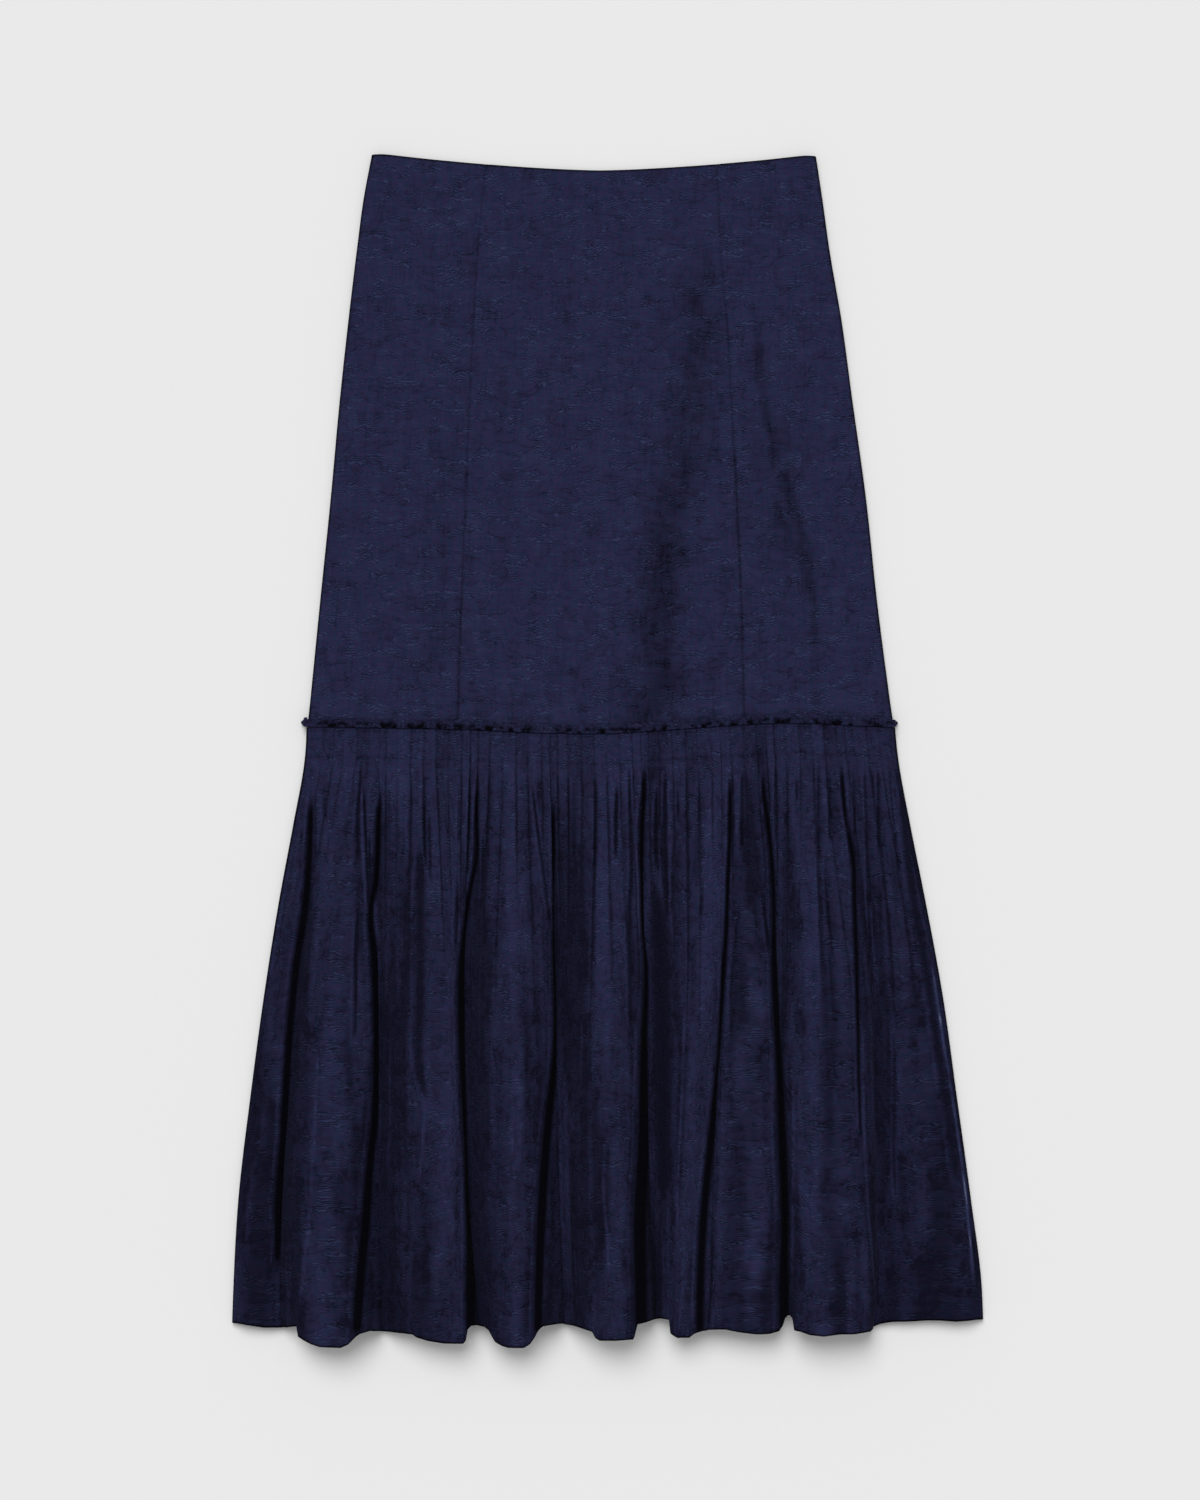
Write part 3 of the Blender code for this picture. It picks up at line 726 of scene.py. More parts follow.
# Stretches of rows, as shares of the flounce's length, and the rows in each
Stretch = namedtuple("Stretch", "start end rows")
FLOUNCE_STRETCHES = [
    Stretch(0.0, 0.064, 24),
    Stretch(0.064, 0.20, 28),
    Stretch(0.20, 0.92, 62),
    Stretch(0.92, 0.996, 16),
]
HEM_ROWS = [0.996, 0.9985, 0.9996, 1.0]

# Flounce: side edges at each height
Edge = namedtuple("Edge", "y left right")
FLOUNCE = [
    Edge(22, -240.3, 228.3),
    Edge(-13, -242.4, 232.0),
    Edge(-65, -251.6, 241.5),
    Edge(-121, -262.2, 252.8),
    Edge(-201, -275.1, 267.6),
    Edge(-281, -286.0, 278.8),
    Edge(-361, -295.5, 289.9),
    Edge(-433, -299.6, 298.8),
    Edge(-458, -300.5, 299.9),
]

# Folds left to right, crests and valleys; spread is how broad each one's top or floor is
Fold = namedtuple("Fold", "tuck mid_x hem_x mid_height hem_height hem_y spread")
FOLDS = [
    Fold(0, -281, -300, 0.0, 0.0, -458.0, 0.33),
    Fold(1, -272, -288, 2.5, 3.0, -462.0, 0.60),
    Fold(2, -255, -264, 0.5, 0.5, -461.5, 0.55),
    Fold(4, -231, -223, 14.5, 22.0, -473.5, 0.60),
    Fold(6, -187, -184, 0.5, 0.5, -466.0, 0.60),
    Fold(11, -130, -129, 12.5, 19.0, -470.5, 0.75),
    Fold(14, -118, -105, 1.0, 1.0, -461.5, 0.32),
    Fold(18, -74, -76, 14.5, 22.0, -474.5, 0.60),
    Fold(21, -43, -36, 0.5, 0.0, -460.5, 0.75),
    Fold(26, 4, 7, 15.0, 25.0, -469.0, 0.78),
    Fold(29, 30, 38, 0.5, 0.0, -455.5, 0.62),
    Fold(34, 73, 60, 11.0, 18.0, -468.5, 0.45),
    Fold(36, 88, 79, 5.5, 11.0, -465.5, 0.35),
    Fold(38, 122, 120, 9.5, 17.5, -467.0, 0.95),
    Fold(40, 137, 144, 1.5, 0.5, -453.5, 0.24),
    Fold(44, 173, 180, 14.0, 25.0, -467.0, 0.95),
    Fold(47, 214, 213, 1.0, 0.5, -458.5, 0.27),
    Fold(50, 254, 268, 3.5, 4.5, -456.5, 0.70),
    Fold(51, 272, 299, 0.0, 0.0, -456.5, 0.33),
]


def through(v, top, mid, hem):
    """The curve of second degree through a value under the band, half way down and at the hem."""
    v = np.maximum(v, BAND_ROW)[:, None]
    at_top = (v - MID_ROW) * (v - 1) / ((BAND_ROW - MID_ROW) * (BAND_ROW - 1))
    at_mid = (v - BAND_ROW) * (v - 1) / ((MID_ROW - BAND_ROW) * (MID_ROW - 1))
    at_hem = (v - BAND_ROW) * (v - MID_ROW) / ((1 - BAND_ROW) * (1 - MID_ROW))
    return top * at_top + mid * at_mid + hem * at_hem


def shares(name):
    """One x column of FOLDS as shares of the width between its first and last rows."""
    places = column(FOLDS, name)
    return (places - places[0]) / (places[-1] - places[0])


def flounce_plan(v, s, valley, shoulders):
    """The flounce at rows v and places s, counted in tucks: x, seam y, hem y and height.

    Each crest or valley keeps to its tuck. Between it and the next, x runs along a cubic whose two
    handles are their spreads, the valley's scaled by valley. Height climbs from the valley as
    1 - (1 - t) ** shoulder, with one shoulder for the left side of a crest and one for its right;
    without them it eases as in the solid.
    """
    place = column(FOLDS, "tuck")
    share = through(v, place / TUCKS, shares("mid_x"), shares("hem_x"))
    crest = through(v, 0, column(FOLDS, "mid_height"), column(FOLDS, "hem_height"))
    crest *= ease(v / BAND_ROW - 0.5)[:, None]
    loose = ease((v - BAND_ROW) / (MID_ROW - BAND_ROW))[:, None]
    spread = PLAIN_SPREAD + (column(FOLDS, "spread") - PLAIN_SPREAD) * loose
    low = np.clip(np.searchsorted(place, s, side="right") - 1, 0, len(place) - 2)
    high = low + 1
    t = (s - place[low]) / (place[high] - place[low])
    rising = column(FOLDS, "hem_height")[low] < column(FOLDS, "hem_height")[high]
    start = spread[:, low] * np.where(rising, valley, 1)
    end = spread[:, high] * np.where(rising, 1, valley)
    run = 3 * (1 - t) ** 2 * t * start + 3 * (1 - t) * t**2 * (1 - end) + t**3
    share = share[:, low] + (share[:, high] - share[:, low]) * run
    up = np.where(rising, t, 1 - t)
    climb = 1 - (1 - up) ** np.where(rising, *shoulders) if shoulders else ease(up)
    climb = np.where(rising, climb, 1 - climb)
    height = crest[:, low] + (crest[:, high] - crest[:, low]) * climb
    hem = column(FOLDS, "hem_y")
    hem = hem[low] + (hem[high] - hem[low]) * ease(t)
    side_y = seam_y(0) + (hem[0] - seam_y(0)) * v
    left = side_x(FLOUNCE, side_y, "left")[:, None] + WALL + TURN
    right = side_x(FLOUNCE, side_y, "right")[:, None] - WALL - TURN
    x = left + (right - left) * share
    return x, seam_y(x[0]) - SEWN / 2, hem, height


# Height of the tucks down the length, and the form of one across, steep on its right
Step = namedtuple("Step", "share height")
TUCK_DOWN = [
    Step(0, 0.7),
    Step(BAND_ROW, 0.9),
    Step(0.08, 1.7),
    Step(0.14, 2.2),
    Step(0.25, 1.7),
    Step(0.385, 0.9),
    Step(MID_ROW, 0.4),
    Step(0.75, 0.0),
]
TOOTH = [
    Step(0, 0),
    Step(0.15, 0.3),
    Step(0.5, 0.6),
    Step(0.8, 0.92),
    Step(0.9, 1),
    Step(1, 0),
]

# Lines given one by one: how strong, and the (y, x, half width) of their points from top to bottom.
# CREASES are pressed in and darkened with painted shade. SHADES are sides turned from the light,
# with painted shade. RAISED_EDGE_HIGHLIGHTS are thin raised edges with a painted highlight, and LIT are
# sides turned to the light, with painted light.
Line = namedtuple("Line", "strength points")
CREASES = [
    Line(0.95, [
        (-41, -236.8, 2.4), (-85, -238.4, 3.6), (-125, -241.6, 4.4), (-173, -248.8, 4.4),
        (-241, -255.2, 4), (-313, -260, 4), (-361, -263.2, 5.6), (-393, -264, 4), (-421, -264.8, 2.4),
    ]),
    Line(0.6, [(-37, -233.6, 1), (-69, -233.6, 1.3), (-105, -235.2, 1)]),
    Line(0.97, [
        (-37, -181.6, 1.6), (-53, -183.2, 3.2), (-81, -184, 4), (-105, -185.6, 4), (-125, -189.6, 2.8),
        (-169, -187.2, 4), (-241, -185.6, 4), (-297, -187.2, 4), (-329, -190.4, 4), (-377, -193.6, 5.2),
        (-429, -197.6, 5.4), (-473, -200, 5.2),
    ]),
    Line(0.8, [(-29, -195.2, 1), (-65, -193.6, 1.3), (-105, -192, 1.6), (-131, -190.4, 1.6)]),
    Line(0.8, [(-125, -199.2, 1.3), (-169, -200.8, 1.6), (-201, -200.8, 1.6), (-240, -202.4, 1)]),
    Line(0.7, [(-37, -147.2, 1), (-65, -146.4, 1.3), (-101, -144.8, 1)]),
    Line(0.97, [
        (-25, -104, 1.2), (-53, -104.8, 1.6), (-89, -104.8, 2.1), (-109, -108.8, 2.4),
        (-137, -113.6, 3.2), (-169, -116.8, 4), (-233, -116.8, 4.4), (-281, -115.2, 4),
        (-321, -113.6, 3.2), (-361, -112.8, 2.8), (-385, -111.2, 4), (-429, -110.4, 4.8),
        (-473, -109.6, 4.8),
    ]),
    Line(0.7, [(-109, -120, 1.2), (-137, -120.8, 1.6), (-169, -121.6, 1.2)]),
    Line(0.5, [(-71, -99.2, 1), (-97, -99.2, 1.2), (-132, -100, 1)]),
    Line(0.75, [(-33, -60, 1), (-65, -56, 1.3), (-105, -50.4, 1.4), (-151, -45.6, 1.6)]),
    Line(0.97, [
        (-44, -44, 1.6), (-81, -43.2, 2), (-117, -44, 1.6), (-149, -44, 2.4), (-173, -43.2, 3.2),
        (-241, -43.2, 3.2), (-289, -48, 4.4), (-329, -51.2, 4.8), (-377, -53.6, 5), (-429, -55.2, 4.8),
        (-473, -56, 4.8),
    ]),
    Line(0.8, [(-30, 7.2, 1), (-57, 6.4, 1.6), (-91, 6.4, 1)]),
    Line(0.7, [
        (-16, 16.8, 1), (-53, 17.6, 1.3), (-105, 18.4, 1.6), (-129, 16.8, 1.8), (-179, 17.6, 2.4),
        (-233, 18.4, 1.2),
    ]),
    Line(0.97, [
        (-16, 28.8, 2), (-33, 28.8, 2.4), (-57, 27.2, 3.2), (-81, 26.4, 3.2), (-105, 26.4, 2.1),
        (-145, 27.2, 1.8), (-169, 29.6, 3.2), (-241, 28, 5.6), (-313, 27.2, 7), (-377, 24.4, 7.2),
        (-429, 25.2, 7), (-473, 25.6, 6.8),
    ]),
    Line(0.75, [
        (-113, 38.4, 4.8), (-153, 41.6, 11.2), (-201, 43.2, 12), (-249, 44, 12), (-297, 44, 10.4),
        (-361, 45.6, 7.2),
    ]),
    Line(0.8, [(-29, 39.2, 1.2), (-65, 38.4, 1.6), (-103, 39.2, 1)]),
    Line(0.75, [
        (-16, 45.6, 1.2), (-41, 45.6, 1.6), (-77, 45.6, 2.8), (-105, 46.4, 2.8), (-145, 47.2, 2.4),
    ]),
    Line(0.6, [(-32, 56, 1), (-63, 56, 1)]),
    Line(0.5, [(-104, 75.2, 1), (-121, 74.4, 1.3), (-143, 73.6, 1)]),
    Line(0.95, [
        (-25, 97.6, 1.6), (-57, 97.6, 2.1), (-83, 96.8, 1.8), (-101, 96, 2), (-125, 95.2, 1.8),
        (-149, 94.4, 2.1), (-181, 92, 2.8), (-241, 88, 3.2), (-313, 80.8, 3.8), (-377, 75.2, 4.2),
        (-429, 72.8, 4.4), (-473, 72, 4.2),
    ]),
    Line(0.7, [(-16, 107.2, 1), (-49, 107.2, 1.4), (-91, 106.4, 1)]),
    Line(0.7, [(-131, 104, 1), (-157, 101.6, 1.4), (-181, 99.2, 1.3), (-237, 98.4, 1)]),
    Line(0.97, [
        (-19, 123.2, 1.2), (-41, 124.8, 1.6), (-65, 128, 2.4), (-89, 130.4, 2.8), (-121, 132, 3.2),
        (-169, 132, 3.6), (-201, 133.6, 4.8), (-241, 136, 5.6), (-313, 138.8, 7), (-377, 140.8, 7),
        (-429, 139.4, 6.8), (-473, 139.6, 6.6),
    ]),
    Line(0.8, [(-115, 123.2, 1), (-145, 126.4, 1.4), (-171, 129.6, 1.6)]),
    Line(0.5, [(-16, 133.6, 1), (-49, 133.6, 1), (-83, 134.4, 1)]),
    Line(0.6, [(-19, 168, 1), (-65, 168, 1.4), (-99, 168.8, 1)]),
    Line(0.65, [
        (-96, 173.6, 1.2), (-121, 174.4, 1.6), (-145, 176.8, 1.8), (-185, 177.6, 1.8), (-221, 179.2, 1),
    ]),
    Line(0.7, [(-19, 176.8, 1), (-49, 176.8, 1.3), (-80, 176.8, 1)]),
    Line(0.92, [
        (-12, 186.4, 1), (-41, 188, 1.6), (-65, 191.2, 1.8), (-89, 195.2, 2.4), (-121, 196, 2.6),
        (-169, 197.6, 2.6), (-209, 198.4, 2.1), (-265, 199.2, 1.6), (-317, 200.8, 1),
    ]),
    Line(0.6, [(-19, 196, 1), (-75, 196.8, 1)]),
    Line(0.6, [(-12, 204.8, 1), (-65, 206.4, 1), (-121, 208, 1), (-173, 210.4, 1)]),
    Line(0.6, [(-128, 212.8, 1.2), (-153, 213.6, 1.6), (-176, 214.4, 1.2)]),
    Line(0.6, [(-12, 215.2, 1), (-49, 216, 1), (-87, 216, 1)]),
    Line(0.6, [(-12, 224, 1), (-57, 228, 1.1), (-108, 232.8, 1)]),
    Line(0.7, [
        (-29, 232.8, 1.6), (-81, 238.4, 3.6), (-105, 241.6, 4), (-137, 246.4, 4.4), (-177, 253.6, 4.4),
        (-225, 260.8, 4), (-281, 268.8, 3.6), (-353, 279.2, 3.2),
    ]),
    Line(0.62, [
        (-189, 216, 4.8), (-249, 217.6, 8), (-297, 219.2, 8), (-345, 220.8, 6.4), (-393, 217.6, 3.2),
    ]),
    Line(0.7, [(-224, 228, 1.2), (-281, 228.8, 1.6), (-329, 228, 1.6), (-365, 230.4, 1)]),
    Line(0.5, [(-237, 176.8, 1), (-273, 182.4, 1.3), (-304, 188, 1)]),
    Line(0.6, [(-245, -171.2, 1.2), (-297, -170.4, 1.4), (-341, -172.8, 1.2)]),
    Line(0.75, [(-11, -197.6, 1), (-26, -197.6, 1.3), (-47, -199.2, 1.6), (-91, -199.2, 1.4)]),
    Line(0.8, [(-69, -190.4, 1), (-91, -190.4, 1.4), (-113, -189.6, 1.2)]),
    Line(0.35, [(-33, -158.4, 1), (-81, -158.4, 1)]),
    Line(0.55, [(-53, -142.4, 1), (-91, -141.6, 1.3), (-113, -140.8, 1)]),
    Line(0.45, [(-35, -118.4, 1.1), (-83, -119.2, 1.1)]),
    Line(0.65, [(-25, -110.4, 1), (-65, -111.2, 1.4), (-96, -112.8, 1)]),
    Line(0.55, [(-24, -54.4, 2), (-41, -54.4, 3.2), (-61, -53.6, 2.4)]),
    Line(0.5, [(-33, -225.6, 1.6), (-48, -225.6, 2.4), (-62, -224.8, 1.6)]),
    Line(0.4, [(-59, -244, 1.6), (-89, -245.6, 2.6), (-121, -248, 2)]),
    Line(0.4, [(-21, -81.6, 1), (-45, -81.6, 1)]),
    Line(0.45, [(-21, -27.2, 1), (-65, -27.2, 1.1), (-93, -26.4, 1)]),
    Line(0.45, [(-17, -9.6, 1), (-57, -9.6, 1.2), (-97, -10.4, 1)]),
    Line(0.35, [(-21, 73.6, 1), (-65, 72.8, 1)]),
    Line(0.35, [(-21, 150.4, 1), (-65, 151.2, 1)]),
    Line(0.7, [
        (-81, -149.6, 2.4), (-109, -149.6, 4.8), (-161, -149.6, 5.6), (-209, -149.6, 5.2),
        (-249, -150.4, 4.8), (-285, -144, 2.4),
    ]),
    Line(0.6, [
        (-77, 54.4, 3.2), (-121, 52, 4), (-161, 52, 4.8), (-201, 54.4, 5.6), (-241, 59.2, 5.6),
        (-281, 58.4, 4.8), (-321, 56.8, 4), (-369, 56.8, 2.4),
    ]),
]
SHADES = [
    Line(0.33, [(-225, -206.4, 3.2), (-249, -205.6, 4), (-286, -204.8, 1.6)]),
    Line(0.3, [(-293, -200.8, 2.4), (-321, -200.8, 4), (-349, -201.6, 1.6)]),
    Line(0.33, [(-373, -204.8, 3.2), (-409, -205.6, 6.4), (-473, -206.4, 7.2)]),
    Line(0.26, [
        (-161, -244, 4), (-241, -243.2, 6.4), (-313, -246.4, 8), (-377, -249.6, 7.2),
        (-473, -254.4, 6.4),
    ]),
    Line(0.33, [
        (-41, -172.8, 4), (-105, -168, 9.6), (-169, -163.2, 12.8), (-209, -166.4, 12),
        (-265, -172.8, 8), (-329, -176, 7.2), (-393, -172.8, 11.2), (-473, -169.6, 16),
    ]),
    Line(0.33, [
        (-89, -97.6, 4.8), (-137, -99.2, 9.6), (-173, -100.8, 10.4), (-241, -103.2, 8),
        (-313, -102.4, 7.2), (-361, -100, 6.4), (-473, -96, 5.6),
    ]),
    Line(0.3, [
        (-73, -32, 5.6), (-121, -29.6, 8.8), (-173, -27.2, 12), (-241, -24.8, 14.4), (-313, -24, 16),
        (-377, -24, 17.6), (-473, -24, 16),
    ]),
    Line(0.26, [(-25, 115.2, 4), (-73, 115.2, 6.4), (-129, 113.6, 4.8)]),
    Line(0.18, [(-185, 110.4, 9.6), (-249, 112, 14.4), (-313, 112, 16.8), (-473, 112, 19.2)]),
    Line(0.26, [(-201, 244.8, 7.2), (-281, 251.2, 14.4), (-361, 256, 20.8), (-473, 257.6, 24)]),
    Line(0.26, [(-233, -273.6, 6.4), (-281, -276.8, 9.6), (-345, -280, 12.8), (-473, -284.8, 14.4)]),
    Line(0.23, [(-21, 37.6, 8), (-65, 37.6, 11.2), (-113, 38.4, 11.2)]),
    Line(0.2, [
        (-21, 195.2, 11.2), (-65, 203.2, 16), (-121, 211.2, 17.6), (-177, 217.6, 16),
        (-217, 220.8, 11.2),
    ]),
    Line(0.17, [(-201, -66.4, 4.8), (-297, -59.2, 5.6), (-473, -62.4, 6.4)]),
    Line(0.2, [(-41, -212.8, 5.6), (-121, -214.4, 4.8), (-169, -216, 3.2)]),
    Line(0.4, [(11, 37.6, 9.6), (-9, 39.2, 9.6), (-33, 37.6, 7.2)]),
    Line(0.35, [(3, 80, 4), (-41, 76, 4), (-81, 72, 4.8), (-113, 71.2, 3.2)]),
    Line(0.35, [(-49, 15.2, 3.2), (-65, 16, 4.8), (-89, 14.4, 4)]),
    Line(0.4, [
        (-57, 143.2, 4), (-81, 144.8, 6.4), (-105, 145.6, 4.8), (-129, 148.8, 6.4), (-161, 152, 4),
    ]),
    Line(0.4, [
        (-297, 132.8, 2.4), (-329, 135.2, 3.2), (-361, 136, 4), (-401, 136, 4), (-473, 134.4, 4),
    ]),
    Line(0.45, [
        (-305, 19.2, 2.4), (-353, 19.2, 4), (-393, 16, 6.4), (-433, 19.2, 5.6), (-473, 19.2, 4.8),
    ]),
    Line(0.4, [
        (-193, -57.6, 2.4), (-249, -54.4, 3.2), (-305, -51.2, 4), (-361, -52.8, 4), (-409, -57.6, 4.8),
        (-473, -64.8, 7.2),
    ]),
    Line(0.4, [
        (-321, 78.4, 2.4), (-353, 77.6, 3.2), (-393, 71.2, 4), (-433, 68, 4.8), (-473, 65.6, 4.8),
    ]),
    Line(0.4, [(-73, -200.8, 3.2), (-97, -198.4, 4), (-121, -197.6, 4.8), (-169, -197.6, 3.2)]),
    Line(0.35, [(-113, -236.8, 3.2), (-149, -238.4, 4.8), (-177, -240, 4), (-217, -241.6, 4)]),
    Line(0.3, [(-313, -4.8, 4.8), (-353, -6.4, 7.2), (-393, -8.8, 6.4), (-441, -9.6, 4.8)]),
    Line(0.3, [(-277, -268.8, 3.2), (-305, -268, 4), (-333, -268.8, 3.2)]),
    Line(0.35, [(-289, -113.6, 4), (-329, -110.4, 5.6), (-369, -108.8, 4.8)]),
    Line(0.35, [
        (-161, 174.4, 4), (-201, 176, 6.4), (-233, 176.8, 6.4), (-265, 175.2, 4.8), (-329, 174.4, 4.8),
    ]),
    Line(0.35, [(-81, 228, 3.2), (-109, 228.8, 4.8), (-133, 228, 3.2)]),
    Line(0.3, [
        (-249, -188.8, 3.2), (-297, -193.6, 3.2), (-337, -196, 3.2), (-385, -195.2, 4.8),
        (-449, -188.8, 4.8),
    ]),
    Line(0.15, [(-313, -174.4, 28.8), (-361, -178.4, 48), (-477, -178.4, 51.2)]),
    Line(0.25, [(-201, -6.4, 2.4), (-233, -5.6, 4.8), (-253, -5.6, 3.2)]),
    Line(0.25, [(-113, -48, 3.2), (-161, -49.6, 4), (-209, -44.8, 3.2)]),
    Line(0.35, [(-121, 149.6, 4.8), (-161, 150.4, 6.4), (-209, 152.8, 4.8), (-233, 153.6, 3.2)]),
    Line(0.35, [
        (-113, 216, 2.4), (-161, 218.4, 3.2), (-201, 220.8, 4), (-249, 223.2, 3.2), (-313, 225.6, 3.2),
    ]),
    Line(0.3, [(-381, 195.2, 3.2), (-417, 197.6, 4.8), (-477, 199.2, 4.8)]),
]
# thin raised edges with painted highlights, the brightest the rim along the right side
RAISED_EDGE_HIGHLIGHTS = [
    Line(0.7, [(-28, -196.8, 1), (-65, -195.2, 1), (-105, -193.6, 1), (-135, -192, 1)]),
    Line(0.62, [(-40, -57.6, 1), (-73, -53.6, 1), (-113, -48, 1), (-147, -44, 1)]),
    Line(0.66, [(-11, 18.4, 1.2), (-57, 20.8, 1), (-97, 23.2, 1), (-148, 24.8, 1)]),
    Line(0.55, [(-24, 48, 1), (-81, 48.8, 1), (-121, 49.6, 1), (-165, 52, 1)]),
    Line(0.62, [(-11, 101.6, 2.4), (-41, 102.4, 2), (-83, 102.4, 1)]),
    Line(0.55, [(-13, 189.6, 1.2), (-69, 192, 1)]),
    Line(0.55, [(-16, 225.6, 1), (-65, 229.6, 1), (-108, 234.4, 1)]),
    Line(0.62, [
        (-229, 202.4, 1), (-297, 203.2, 1.2), (-345, 204.8, 1), (-401, 209.6, 1), (-438, 212.8, 1),
    ]),
    Line(0.6, [
        (-237, -230.4, 1), (-313, -233.6, 1.2), (-361, -236, 1.1), (-393, -239.2, 1.1),
        (-445, -245.6, 1.1),
    ]),
    Line(0.62, [(-275, -145.6, 1), (-313, -147.2, 1.1), (-348, -150.4, 1)]),
    Line(1, [(-296, -76.4, 1), (-309, -76.4, 1.3), (-323, -76.4, 1)]),
    Line(0.7, [(-317, -3.2, 1), (-361, -3.2, 1.2), (-393, 0, 1.2), (-421, 0, 1)]),
    Line(0.62, [(-213, 60.8, 1), (-281, 58.4, 1.2), (-329, 56, 1.1), (-389, 54.4, 1)]),
    Line(0.59, [(-269, 147.2, 1), (-321, 147.2, 1.2), (-385, 146.4, 1.1), (-433, 145.6, 1)]),
    Line(2.4, [
        (-173, 258.8, 0.8), (-201, 262.8, 1.1), (-241, 268.8, 1.3), (-281, 275.2, 1), (-361, 286, 1),
        (-429, 292, 1),
    ]),
    # a small pale curved smudge
    Line(0.9, [(-396, 112, 8), (-407, 115.2, 10), (-417, 117.6, 8)]),
]
LIT = [
    Line(0.2, [
        (-201, -218.4, 8), (-241, -218.4, 11.2), (-297, -220, 11.2), (-361, -222.4, 11.2),
        (-473, -225.6, 11.2),
    ]),
    Line(0.2, [
        (-73, -134.4, 6.4), (-105, -134.4, 10.4), (-169, -132.8, 11.2), (-281, -132.8, 11.2),
        (-361, -129.6, 9.6), (-473, -129.6, 11.2),
    ]),
    Line(0.15, [
        (-97, -74.4, 8), (-169, -70.4, 11.2), (-241, -72.8, 9.6), (-329, -74.4, 9.6), (-473, -80, 11.2),
    ]),
    Line(0.18, [(-89, -4, 8), (-169, -4, 11.2), (-249, 3.2, 11.2), (-345, 6.4, 9.6), (-473, 9.6, 8)]),
    Line(0.22, [
        (-41, 76, 9.6), (-89, 76, 11.2), (-137, 76, 11.2), (-201, 71.2, 11.2), (-281, 70.4, 10.4),
        (-361, 65.6, 9.6), (-473, 62.4, 8),
    ]),
    Line(0.08, [(-185, 115.2, 6.4), (-233, 118.4, 8), (-281, 121.6, 7.2)]),
    Line(0.14, [
        (-81, 163.2, 11.2), (-145, 161.6, 11.2), (-201, 168, 12.8), (-281, 168, 14.4),
        (-361, 165.6, 12.8), (-473, 165.6, 16),
    ]),
    Line(0.1, [
        (-145, 185.6, 6.4), (-201, 190.4, 6.4), (-281, 191.2, 6.4), (-361, 195.2, 6.4),
        (-473, 193.6, 8),
    ]),
    Line(0.16, [(-105, 227.2, 6.4), (-169, 232, 7.2), (-209, 235.2, 6.4)]),
    Line(0.12, [(-89, -212, 5.6), (-145, -216, 7.2), (-201, -216, 7.2)]),
    Line(0.35, [
        (-185, 115.2, 4.8), (-217, 119.2, 8), (-241, 109.6, 12), (-281, 113.6, 11.2),
        (-313, 115.2, 9.6), (-361, 117.6, 8), (-393, 121.6, 5.6), (-433, 115.2, 7.2),
        (-473, 115.2, 7.2),
    ]),
    Line(0.25, [
        (-273, -32, 6.4), (-321, -33.6, 8), (-361, -34.4, 9.6), (-401, -36.8, 8), (-473, -38.4, 7.2),
    ]),
    Line(0.3, [(-257, -72.8, 4), (-285, -72, 6.4), (-313, -72, 6.4), (-341, -74.4, 4)]),
    Line(0.12, [(11, -94.4, 32), (-25, -94.4, 32), (-81, -94.4, 28.8)]),
    Line(0.15, [(-29, -68.8, 6.4), (-41, -68.8, 8.8), (-53, -70.4, 6.4)]),
    Line(0.2, [(-33, 190.4, 4), (-81, 188, 4.8), (-121, 184, 4.8), (-169, 189.6, 4.8)]),
    Line(0.25, [(-321, 187.2, 4), (-353, 187.2, 6.4), (-393, 186.4, 6.4)]),
    Line(0.25, [(-225, 237.6, 4.8), (-273, 235.2, 6.4), (-337, 236, 6.4)]),
    Line(0.35, [(-313, 84.8, 2.4), (-361, 81.6, 3.2), (-409, 79.2, 3.2), (-473, 77.6, 3.2)]),
    Line(0.2, [(-89, 83.2, 6.4), (-121, 84.8, 8), (-169, 83.2, 6.4), (-217, 78.4, 5.6)]),
    Line(0.2, [(-89, -168.8, 4), (-129, -168, 4.8), (-177, -166.4, 4.8), (-201, -167.2, 3.2)]),
    Line(0.2, [(-177, -198.4, 3.2), (-233, -199.2, 5.6), (-289, -196.8, 4)]),
    Line(0.2, [(-137, -186.4, 4), (-169, -186.4, 5.6), (-201, -187.2, 4)]),
    Line(0.25, [(-389, -131.2, 4), (-411, -132, 7.2), (-433, -133.6, 4)]),
    Line(0.2, [(-185, -18.4, 4), (-217, -17.6, 5.6), (-249, -19.2, 4)]),
    Line(0.2, [(-89, -92.8, 4.8), (-121, -93.6, 6.4), (-149, -95.2, 4.8)]),
    Line(0.15, [(-377, 245.6, 16), (-417, 245.6, 20), (-473, 245.6, 16)]),
    Line(0.2, [(-401, -258.4, 9.6), (-441, -262.4, 12.8), (-477, -262.4, 12.8)]),
]

